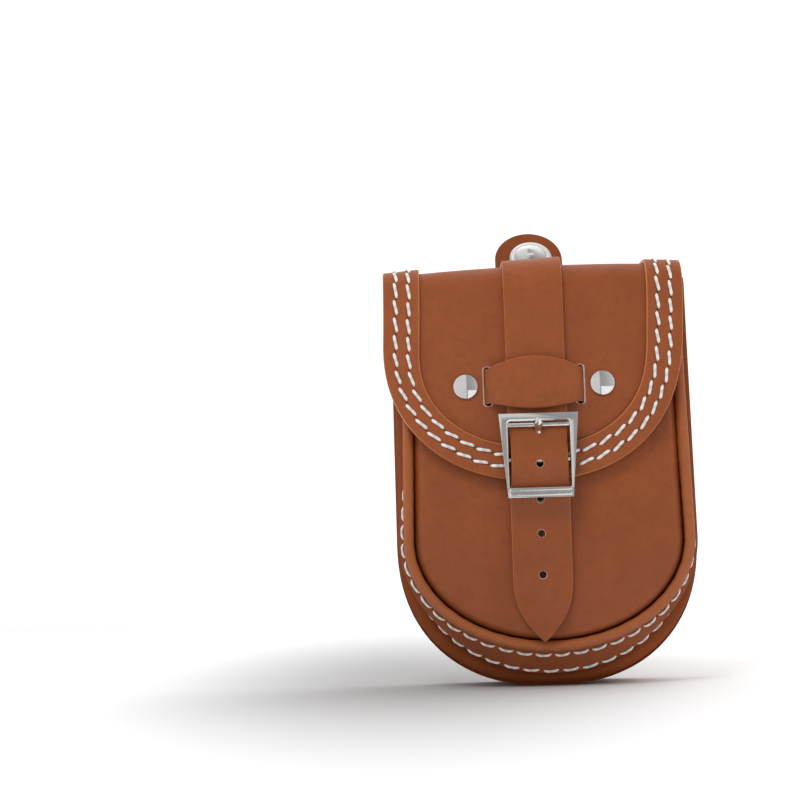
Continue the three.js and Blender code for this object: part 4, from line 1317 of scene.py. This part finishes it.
def border_row(inward, start):
    lift = GAP + BORDER["thickness"] - 0.34
    path, above = on_border(inward, lift), on_border(inward, lift + 1)
    row = spaced(path, above - path, BORDER["pitch"], start=start)
    x, z = row[0][:, 0], row[0][:, 2]
    in_sight = (np.abs(x - STRAP_X) > BORDER["bare_half"]) | (z > BORDER["bare_top_z"])
    return [part[in_sight] for part in row]


border_piece = border()
border_rows = [border_row(inward, start) for inward, start in zip(BORDER["rows"], (3.0, 5.2))]
pierce(border_piece, np.concatenate([stitch_ends(row, 7.6) for row in border_rows]), depth=0.45)
smooth(border_piece, 50)
finish_piece(border_piece, BORDER_LEATHER, ["flap_border"])
for number, row in enumerate(border_rows, start=1):
    stitch_row(f"flap_stitches_{number}", FLAP_FORM, row, slant=0.19)

# %% [markdown]
# ## Straps
#
# A strap is a strip with a rounded section, carried along a smooth line. The billet strap leaves
# the panel near its tip, climbs over the buckle's centre bar, dives under its rod and the keeper,
# and follows the flap over the top. Its edges show the cut, and so do the rims of its holes.

# %% Strips
def smooth_line(table, steps):
    """A smooth curve through the rows of a table."""
    rows = np.array(table, float)
    rows = np.vstack([2 * rows[0] - rows[1], rows, 2 * rows[-1] - rows[-2]])
    made = []
    for a, b, c, d in zip(rows, rows[1:], rows[2:], rows[3:]):
        before, here, after = (max(np.linalg.norm(q - p), 1e-6) ** 0.5 for p, q in ((a, b), (b, c), (c, d)))
        leave = ((b - a) / before - (c - a) / (before + here) + (c - b) / here) * here
        arrive = ((c - b) / here - (d - b) / (here + after) + (d - c) / after) * here
        for t in np.arange(steps) / steps:
            made.append((2 * t**3 - 3 * t**2 + 1) * b + (t**3 - 2 * t**2 + t) * leave
                        + (3 * t**2 - 2 * t**3) * c + (t**3 - t**2) * arrive)
    return np.array(made + [rows[-2]])


def strip_section(thickness, radius, across=16, steps=4):
    """Rows of (side, way round the corner, height), closed."""
    turn = np.linspace(0, math.pi / 2, steps + 1)
    rows = [(u, 0, thickness) for u in np.linspace(-1, 1, across)[:-1]]
    rows += [(1, math.sin(t), thickness - radius * (1 - math.cos(t))) for t in turn]
    rows += [(1, math.cos(t), radius * (1 - math.sin(t))) for t in turn]
    rows += [(u, 0, 0) for u in np.linspace(1, -1, across // 2)[1:-1]]
    rows += [(-1, -math.sin(t), radius * (1 - math.cos(t))) for t in turn]
    rows += [(-1, -math.cos(t), thickness - radius * (1 - math.sin(t))) for t in turn]
    return np.array(rows)


CUT_EDGE = 0.75


def laid_strip(name, middles, side, out, halves, thickness, radius=0.8, across=16):
    """A strip along its middles. side is across it, and out says which of its faces is the front."""
    section = strip_section(thickness, radius, across)
    along = unit(np.gradient(middles, axis=0))
    normal = unit(np.cross(side, along))
    normal *= np.sign(np.sum(normal * out, axis=1, keepdims=True))
    halves = np.broadcast_to(halves, len(middles))[:, None]
    corner = np.minimum(radius, halves * 0.9)
    x = section[:, 0] * (halves - corner) + section[:, 1] * corner
    points = (middles[:, None] + np.asarray(side) * x[..., None]
              + normal[:, None] * section[None, :, 2, None])
    piece = laid_grid(name, points)
    paint_columns(piece, "edge", points, (np.abs(section[:, 1]) > 0.7, CUT_EDGE))
    return piece, normal


# %% The billet strap
STRAP = {"half": 14.8, "thickness": 2.8, "tip_z": 23.1, "taper_z": 54.7, "taper_power": 2.4, "prong_z": 127.0}
CHAPE, CHAPE_HALF = 1.2, 13.0
OVER_CHAPE = GAP + CHAPE + GAP


def lift_of(z, depth):
    """Where a depth behind the crest plane lies on the closure's axes, at a height."""
    lean = FLAP["lean"]
    return (FLAP_Y - crest(z) - depth) * math.cos(lean) + (z - FLAP["bottom"]) * math.sin(lean)


def on_panel(z, above):
    return float(lift_of(z, panel_depth(0.0, z) - above))


def strap_middles():
    table = [
        (STRAP["tip_z"], lift_of(STRAP["tip_z"], -2.2)), (36, on_panel(36, 0.8)), (50, on_panel(50, GAP)),
        (60, on_panel(60, 0.8)), (70, on_panel(70, OVER_CHAPE)), (84, on_panel(84, OVER_CHAPE + 0.1)),
        (89, on_panel(89, OVER_CHAPE + 1.2)), (93, 1.3), (97, 3.5), (101, 5.5), (106, 7.2),
        (112.4, 8.0), (119, 6.5), (125, 4.2), (129.6, 2.6), (134, 1.4), (139, GAP + 0.2),
        (154, GAP), (168, GAP),
    ]
    lower = smooth_line([(up_flap(z), lift) for z, lift in table], 12)
    distance = np.arange(up_flap(168) + 1.5, FLAP_LENGTH, 1.5)
    up, lift, heading = on_line(FLAP_LINE, np.append(distance, FLAP_LENGTH))
    upper = np.stack([up + np.sin(heading) * GAP, lift + np.cos(heading) * GAP], axis=1)
    line = np.vstack([lower, upper])
    heights = np.concatenate([lower[:, 0], np.full(len(upper), 1000.0)])
    middles = on_strap(0 * line[:, 0], line[:, 0], line[:, 1])
    way = np.gradient(line, axis=0)
    out = on_closure(0 * way[:, 0], -way[:, 1], way[:, 0]) - on_closure(0.0, 0.0, 0.0)
    return middles, heights, out


def strap_hole(middles, normals, z, stretch=1.0):
    """A punched hole with a flared rim, square to the strap. The prong's own is a fifth longer."""
    nearest = np.argmin(np.abs(middles[:, 2] - z) + (middles[:, 2] > 150) * 1e3)
    cutter = turned("punch", [(1.85, -3), (1.85, 2.4), (1.95, 2.6), (2.25, 2.95), (2.9, 4.2)], 34)
    cutter.data.transform(Matrix.Diagonal((1, stretch, 1, 1)) @ Matrix.Rotation(0.037, 4, "Z"))
    return stood(cutter, middles[nearest], normals[nearest])


def billet_strap():
    middles, heights, out = strap_middles()
    tip, full = up_flap(STRAP["tip_z"]), up_flap(STRAP["taper_z"])
    share = np.clip((heights - tip) / (full - tip), 0, 1)
    halves = 0.5 + (STRAP["half"] - 0.5) * (1 - (1 - share) ** STRAP["taper_power"])
    halves = halves - 0.8 * np.exp(-(((heights - up_flap(WINDOW_Z)) / 14) ** 4))
    piece, normals = laid_strip("billet_strap_leather", middles, (1.0, 0.0, 0.0), out, halves,
                                STRAP["thickness"], across=20)
    places = vertex_places(piece)
    across = places[:, 0] - middles[0, 0]
    places[:, 2] += eased((places[:, 2] - 175) / 30) * (SLOPE * across + 0.037 * (across + STRAP["half"]))
    piece.data.vertices.foreach_set("co", (places * MM).ravel())
    bored(piece, [strap_hole(middles, normals, z) for z in STRAP_HOLES]
          + [strap_hole(middles, normals, STRAP["prong_z"], 1.2)])
    raw = np.zeros(len(piece.data.polygons))
    piece.data.attributes["raw"].data.foreach_get("value", raw)
    piece.data.attributes["raw"].data.foreach_set("value", (raw * 0.45).astype(np.float32))
    smooth(piece, 50)
    return finish_piece(piece, STRAP_LEATHER, ["billet_strap"])


billet_strap()

# %% [markdown]
# ## Keeper, buckle strap and snap tab
#
# The keeper is a band that comes out of one slit, arches over the strap and goes down the other
# slit. It is widest in its middle. A short strap, hidden under the billet, holds the buckle on the
# panel: it goes round the centre bar, and a slot in it lets the prong through. The tab behind the
# top carries the snap fastener.

# %% Keeper
def keeper():
    sag = lambda x: FLAP["crown"] * (x / FLAP["half"]) ** 2
    behind = -LEATHER - GAP - KEEPER["thickness"]
    over = GAP + STRAP["thickness"] + GAP + 0.2
    half = [
        (0, over + 0.7), (9, over + 0.6), (15.6, over), (19.6, over - 1.7), (22, -0.6), (22.3, -3.6),
        (22.9, -5.4), (24.3, behind - sag(24.3) - 0.4), (27, behind - sag(27)), (34, behind - sag(34)),
        (42, behind - sag(42)),
    ]
    line = smooth_line([(-x, lift) for x, lift in half[:0:-1]] + half, 7)
    arch = np.cos(math.pi / 2 * np.minimum(1, np.abs(line[:, 0]) / KEEPER["band_half"])) ** 0.85
    halves = KEEPER["end_half"] + (KEEPER["arch_half"] - KEEPER["end_half"]) * arch
    middle = up_flap(KEEPER["z"]) + (halves - KEEPER["end_half"]) * 0.2
    middles = on_closure(line[:, 0], middle, line[:, 1])
    way = np.gradient(line, axis=0)
    out = way[:, :1] * OUT + way[:, 1:] * np.array([-1.0, 0.0, 0.0])
    level = on_closure(line[:, 0], np.full(len(line), middle.mean()), line[:, 1])
    piece = laid_keeper(middles, level, out, halves)
    bored(piece, rivet_bores(-12, 3))
    smooth(piece, 50)
    return finish_piece(piece, STRAP_LEATHER, ["strap_keeper"])


def laid_keeper(middles, level, out, halves):
    """The keeper's rows stand on a level line, and only their height changes along it."""
    section = strip_section(KEEPER["thickness"], 0.7, 18)
    along = unit(np.gradient(level, axis=0))
    normal = unit(np.cross(UP, along))
    normal *= np.sign(np.sum(normal * out, axis=1, keepdims=True))
    corner = np.full((len(middles), 1), 0.7)
    up = section[:, 0] * (halves[:, None] - corner) + section[:, 1] * corner
    points = middles[:, None] + UP * up[..., None] + normal[:, None] * section[None, :, 2, None]
    piece = laid_grid("strap_keeper_band", points)
    paint_columns(piece, "edge", points, (np.abs(section[:, 1]) > 0.7, CUT_EDGE))
    return piece


keeper()

# %% Buckle strap
BUCKLE = {
    "top_z": 135.0, "bottom_z": 93.3, "top_half": 19.7, "bottom_half": 16.05, "window_half": 15.2,
    "window_top_z": 131.1, "window_bottom_z": 97.9, "rear": 7.2, "front": 10.6, "bar_z": 112.4,
    "bar_lift": 5.1, "bar_radius": 1.1, "rod_z": 129.6, "rod_lift": 7.0, "rod_radius": 1.25,
}


def chape():
    loop = BUCKLE["bar_radius"] + 0.2
    rear, bar = BUCKLE["bar_lift"] - loop, float(up_flap(BUCKLE["bar_z"]))
    rows = lambda table, steps: smooth_line([(float(up_flap(z)), lift) for z, lift in table], steps)
    front = rows([(103.4, rear + GAP), (105.4, rear + GAP + 0.2), (107.9, rear + 1.2),
                  (110.4, BUCKLE["bar_lift"] + loop - 0.3)], 4)
    turn = np.linspace(0, math.pi, 13)
    round_bar = np.stack([bar + loop * np.sin(turn), BUCKLE["bar_lift"] + loop * np.cos(turn)], axis=1)
    behind = rows([(109, rear), (100.4, rear), (96, rear - 2.4), (90.4, on_panel(90.4, GAP + CHAPE + 0.2)),
                   (81, on_panel(81, GAP + CHAPE)), (71, on_panel(71, GAP + CHAPE))], 5)
    line = np.vstack([front, round_bar, behind])
    way = np.gradient(line, axis=0)
    out = -way[:, 1:] * UP + way[:, :1] * OUT
    middles = on_strap(0 * line[:, 0], line[:, 0], line[:, 1])
    piece, _ = laid_strip("buckle_strap", middles, (1.0, 0.0, 0.0), out, CHAPE_HALF, CHAPE,
                          radius=0.4, across=14)
    select_none()
    bpy.ops.mesh.primitive_cube_add(size=1, scale=(4.2 * MM, 13 * MM, 12 * MM))
    slot = bpy.context.object
    bpy.ops.object.transform_apply(scale=True)
    bored(piece, [stood(slot, on_strap(0, bar + 1.5, BUCKLE["bar_lift"]), OUT)])
    darken_under_holes(piece)
    smooth(piece, 50)
    return finish_piece(piece, STRAP_LEATHER, ["buckle_chape"])


chape()

# %% Snap tab
TAB = {"shift": -2.1, "half": 18.0, "thickness": 3.0, "foot_z": 179.5, "straight": 24.5, "bend_radius": 18.0,
       "bend": math.radians(33), "reach": 12.0}
TAB_LINE, TAB_LENGTH = folded_line([
    (TAB["straight"], 0), (TAB["bend"], TAB["bend_radius"]), (TAB["reach"] + TAB["half"], 0),
])
TAB_FACE = BACK_Y + 2 * GAP + LEATHER + STRAP["thickness"] + GAP


def on_tab(x, distance, lift):
    """distance runs from the tab's round end to its foot."""
    x, distance, lift = np.broadcast_arrays(np.asarray(x, float), distance, lift)
    up, base, heading = on_line(TAB_LINE, TAB_LENGTH - distance)
    y = TAB_FACE - base - np.cos(heading) * lift
    z = TAB["foot_z"] + up + np.sin(heading) * lift
    return np.stack([x + TAB["shift"], y, z], axis=-1)


SNAP_PLACE = on_tab(1.1, TAB["half"] + 0.7, 0)
SNAP_OUT = on_tab(1.1, TAB["half"] + 0.7, 1) - SNAP_PLACE


def tab():
    outline = round_outline(TAB["half"], TAB["half"], 2.0, TAB_LENGTH, 26, 60)
    section = slab_section(TAB["thickness"], far=14, near=8)
    piece = laid_slab("snap_tab_leather", outline, section, on_tab)
    bore = turned("bore", [(2.6, -9), (2.6, 9)], 24)
    bored(piece, [stood(bore, SNAP_PLACE, SNAP_OUT)])
    # Painted shade: the whole tab is painted darker, against the light that its upturned face catches.
    paint(piece, "shade", np.full(len(piece.data.vertices), 0.3))
    smooth(piece, 50)
    return finish_piece(piece, STRAP_LEATHER, ["snap_tab"])


tab()
print("snap at", [round(float(v), 1) for v in SNAP_PLACE], "facing", [round(float(v), 2) for v in SNAP_OUT])

# %% [markdown]
# ## Rivets and snap fastener
#
# Turned parts start as a circle that is extruded and resized from radius to radius, as a lathe
# would follow them. The rivets are low domes with a soft rim, and a shank goes through flap and
# keeper to a flat head behind. The snap's cap has a flange and a small centre pip.

# %% Rivets
def rivet(side):
    radius, top, slope = RIVET["radius"], GAP + 1.95, math.radians(21)
    behind = -LEATHER - GAP - KEEPER["thickness"] - GAP
    ball = (radius - 0.35) / math.sin(slope)
    dome = [(ball * math.sin(t), top - ball * (1 - math.cos(t))) for t in np.linspace(slope, 0, 12)]
    rim = dome[0][1]
    profile = [(0, behind - 0.8), (4.2, behind - 0.8), (4.5, behind - 0.5), (4.5, behind), (1.8, behind),
               (1.8, GAP), (radius - 0.3, GAP), (radius - 0.05, GAP + 0.15), (radius, GAP + 0.4),
               (radius - 0.08, rim - 0.2), (radius - 0.2, rim - 0.06), *dome]
    piece = turned(f"polished_rivet_{'left' if side < 0 else 'right'}", profile)
    x = side * RIVET["x"]
    lean = math.atan(2 * FLAP["crown"] * x / FLAP["half"] ** 2)
    place = on_closure(x, up_flap(RIVET["z"]), -FLAP["crown"] * (x / FLAP["half"]) ** 2)
    stood(piece, place, OUT * math.cos(lean) + np.array([math.sin(lean), 0, 0]))
    smooth(piece, 35)
    return finish_piece(piece, NICKEL, ["rivet_left" if side < 0 else "rivet_right"])


for side in (-1, 1):
    rivet(side)

# %% Snap fastener
SNAP = {"cap": 11.4, "height": 3.2, "shank": 2.2, "socket": 7.0, "socket_height": 4.0, "bore": 3.6}


def snap_cap():
    cap, top = SNAP["cap"], GAP + SNAP["height"]
    profile = [
        (0, -TAB["thickness"]), (SNAP["shank"], -TAB["thickness"]), (SNAP["shank"], GAP), (cap - 0.5, GAP),
        (cap - 0.1, GAP + 0.15), (cap, GAP + 0.4), (cap - 0.1, GAP + 0.7), (cap - 0.5, GAP + 0.9),
        (cap * 0.9, GAP + 0.95), (cap * 0.885, GAP + 1.0), (cap * 0.87, GAP + 1.2), (cap * 0.83, GAP + 1.7),
        (cap * 0.76, GAP + 2.1), (cap * 0.66, GAP + 2.45), (cap * 0.54, GAP + 2.72), (cap * 0.4, GAP + 2.95),
        (cap * 0.26, GAP + 3.08), (1.3, top - 0.06), (1.0, top), (0.6, top + 0.1), (0, top + 0.12),
    ]
    piece = stood(turned("polished_snap_cap", profile, 64), SNAP_PLACE, SNAP_OUT)
    smooth(piece, 35)
    return finish_piece(piece, NICKEL, ["snap_cap"])


def snap_socket():
    face, low = -TAB["thickness"] - GAP, -TAB["thickness"] - GAP - SNAP["socket_height"]
    bore, rim = SNAP["bore"], SNAP["socket"]
    profile = [
        (0, face - 1.1), (bore - 0.4, face - 1.1), (bore, face - 1.5), (bore + 0.15, low + 1.2),
        (bore, low + 0.4), (bore + 0.4, low), (rim - 1.4, low), (rim - 1, low + 0.4),
        (rim - 0.7, face - 1.8), (rim - 0.4, face - 1.4), (rim, face - 1.2), (rim, face - 0.2),
        (rim - 0.2, face), (0, face),
    ]
    piece = stood(turned("polished_snap_socket", profile, 48), SNAP_PLACE, SNAP_OUT)
    smooth(piece, 35)
    return finish_piece(piece, NICKEL, ["snap_socket"])


snap_cap()
snap_socket()

# %% [markdown]
# ## The buckle
#
# The frame and its bars are joined into one piece. It starts as a cube whose corners are moved to the
# frame's outline. Its front and back are inset, the inset corners are moved to the window's, and a
# bridge opens the window. Sharp edges are then bevelled, because it is the bevels that catch light.

# %% Buckle frame
def rod(name, radius, length, up, lift, vertices=28, tip=0.3):
    """A round bar across the closure, with softened ends."""
    half = length / 2
    profile = [(0, -half), (radius - tip, -half), (radius, tip - half), (radius, half - tip),
               (radius - tip, half), (0, half)]
    return stood(turned(name, profile, vertices), on_strap(0, up, lift), (1, 0, 0), side=(0, 1, 0))


def joined(pieces, name):
    select_none()
    for piece in pieces:
        piece.select_set(True)
    bpy.context.view_layer.objects.active = pieces[0]
    bpy.ops.object.join()
    pieces[0].name = name
    pieces[0].data.name = name
    return pieces[0]


def plate_with_window():
    select_none()
    bpy.ops.mesh.primitive_cube_add(size=2)
    plate = bpy.context.object
    bpy.ops.object.mode_set(mode="EDIT")
    mesh = bmesh.from_edit_mesh(plate.data)
    top, bottom = float(up_flap(BUCKLE["top_z"])), float(up_flap(BUCKLE["bottom_z"]))
    for vert in mesh.verts:
        half = BUCKLE["top_half"] if vert.co.y > 0 else BUCKLE["bottom_half"]
        vert.co.x = math.copysign(half, vert.co.x)
        vert.co.y = top if vert.co.y > 0 else bottom
        vert.co.z = BUCKLE["front"] if vert.co.z > 0 else BUCKLE["rear"]
    for face in mesh.faces:
        face.select_set(abs(face.normal.z) > 0.9)
    bmesh.update_edit_mesh(plate.data)
    bpy.ops.mesh.inset(thickness=2.0)
    mesh = bmesh.from_edit_mesh(plate.data)
    middle = (top + bottom) / 2
    for vert in {v for face in mesh.faces if face.select for v in face.verts}:
        vert.co.x = math.copysign(BUCKLE["window_half"], vert.co.x)
        vert.co.y = float(up_flap(BUCKLE["window_top_z" if vert.co.y > middle else "window_bottom_z"]))
    bmesh.update_edit_mesh(plate.data)
    bpy.ops.mesh.bridge_edge_loops()
    face_outwards()
    mesh = bmesh.from_edit_mesh(plate.data)
    half = BUCKLE["window_half"] + 0.01
    in_front = lambda edge: all(v.co.z > BUCKLE["front"] - 0.01 for v in edge.verts)
    at_window = lambda edge: all(abs(v.co.x) < half and v.co.y < top - 1 for v in edge.verts)
    upright = lambda edge: abs(edge.verts[0].co.z - edge.verts[1].co.z) > 1
    corners = [edge for edge in mesh.edges if upright(edge) and at_window(edge)]
    bmesh.ops.bevel(mesh, geom=corners, offset=1.3, segments=4, profile=0.5, affect="EDGES")
    rim = [edge for edge in mesh.edges if in_front(edge) and at_window(edge)]
    bmesh.ops.bevel(mesh, geom=rim, offset=1.15, segments=3, profile=0.6, affect="EDGES")
    steep = math.radians(50)
    sharp = [e for e in mesh.edges if len(e.link_faces) == 2 and e.calc_face_angle(0) > steep]
    bmesh.ops.bevel(mesh, geom=sharp, offset=0.75, segments=5, profile=0.5, affect="EDGES",
                    clamp_overlap=True)
    bmesh.update_edit_mesh(plate.data)
    bpy.ops.object.mode_set(mode="OBJECT")
    points = vertex_places(plate) * MM
    places = on_strap(points[:, 0], points[:, 1], points[:, 2]) * MM
    plate.data.vertices.foreach_set("co", places.ravel())
    plate.data.update()
    select_only(plate)
    bpy.ops.object.mode_set(mode="EDIT")
    face_outwards()
    bpy.ops.object.mode_set(mode="OBJECT")
    return plate


def lug(side):
    foot = BUCKLE["bar_lift"] - BUCKLE["bar_radius"] - 0.4
    depth = BUCKLE["rear"] + 0.6 - foot
    select_none()
    bpy.ops.mesh.primitive_cube_add(size=1, scale=(2.2 * MM, 8 * MM, depth * MM))
    piece = bpy.context.object
    bpy.ops.object.transform_apply(scale=True)
    turned_edge(piece, 0.4, 2)
    x = side * (BUCKLE["window_half"] + 1.25)
    return stood(piece, on_strap(x, up_flap(BUCKLE["bar_z"]), foot + depth / 2), OUT)


def buckle_frame():
    width = 2 * BUCKLE["window_half"] + 2
    ridge = 2 * BUCKLE["bottom_half"] - 1.4
    pieces = [
        plate_with_window(), lug(-1), lug(1),
        rod("bar", BUCKLE["bar_radius"], width, up_flap(BUCKLE["bar_z"]), BUCKLE["bar_lift"]),
        rod("roller", BUCKLE["rod_radius"], width, up_flap(BUCKLE["rod_z"]), BUCKLE["rod_lift"]),
        *(rod("ridge", 1.05, ridge, up_flap(z), BUCKLE["front"] - 0.3, tip=0.6) for z in (94.9, 97.3)),
    ]
    piece = joined(pieces, "polished_buckle_frame")
    smooth(piece, 40)
    return finish_piece(piece, NICKEL, ["buckle_frame"])


buckle_frame()

# %% Prong
def laid_tube(name, line, across, high, around=20):
    """A rod along a line seen from the side, with its own width and height at each row."""
    way = unit(np.gradient(line, axis=0))
    turn = np.linspace(0, math.tau, around + 1)
    x = across[:, None] * np.cos(turn)
    rise = high[:, None] * np.sin(turn)
    up = line[:, :1] - way[:, 1:] * rise
    lift = line[:, 1:] + way[:, :1] * rise
    return laid_grid(name, on_strap(x, up, lift))


def prong_line():
    table = [(112.4, 5.1), (119, 5.4), (124.4, 5.6), (127, 7.0), (129, 9.4), (130.8, 11.2), (133.0, 11.8)]
    return smooth_line([(float(up_flap(z)), lift) for z, lift in table], 8)


PRONG = {"half_width": 1.75, "half_height": 1.15, "tip": 1.2}


def prong():
    line = prong_line()
    line = line[np.hypot(line[:, 0] - line[0, 0], line[:, 1] - line[0, 1]) > PRONG["half_width"]]
    left = np.concatenate([np.cumsum(np.linalg.norm(np.diff(line, axis=0), axis=1)[::-1])[::-1], [0]])
    blunt = np.sqrt(np.clip(1 - (1 - np.minimum(left, PRONG["tip"]) / PRONG["tip"]) ** 2, 0.0004, 1))
    widened = PRONG["half_width"] + 0.3 * eased((7.5 - left) / 3) - 0.5 * eased((3.2 - left) / 1.5)
    pin = laid_tube("pin", line, widened * blunt, PRONG["half_height"] * blunt)
    bore, outside = BUCKLE["bar_radius"] + 0.3, BUCKLE["bar_radius"] + 1.3
    ring = [(bore, -1.6), (outside - 0.2, -1.6), (outside, -1.4), (outside, 1.4), (outside - 0.2, 1.6),
            (bore, 1.6), (bore, -1.6)]
    eye = stood(turned("eye", ring, 28), on_strap(0, up_flap(BUCKLE["bar_z"]), BUCKLE["bar_lift"]),
                (1, 0, 0), side=(0, 1, 0))
    piece = joined([pin, eye], "polished_prong")
    smooth(piece, 40)
    return finish_piece(piece, NICKEL, ["buckle_prong"])


prong()

# %% [markdown]
# ## Sizes
#
# The whole object is measured once more and printed beside the solids' box, so that a shape that
# has grown can be seen.

# %% Measure and finish
size = {"cad": cad_box, "visual": [[float(v) for v in corner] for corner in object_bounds()]}
for name, (low, high) in size.items():
    print(name, "is", [round((b - a) * 1000, 1) for a, b in zip(low, high)], "mm")
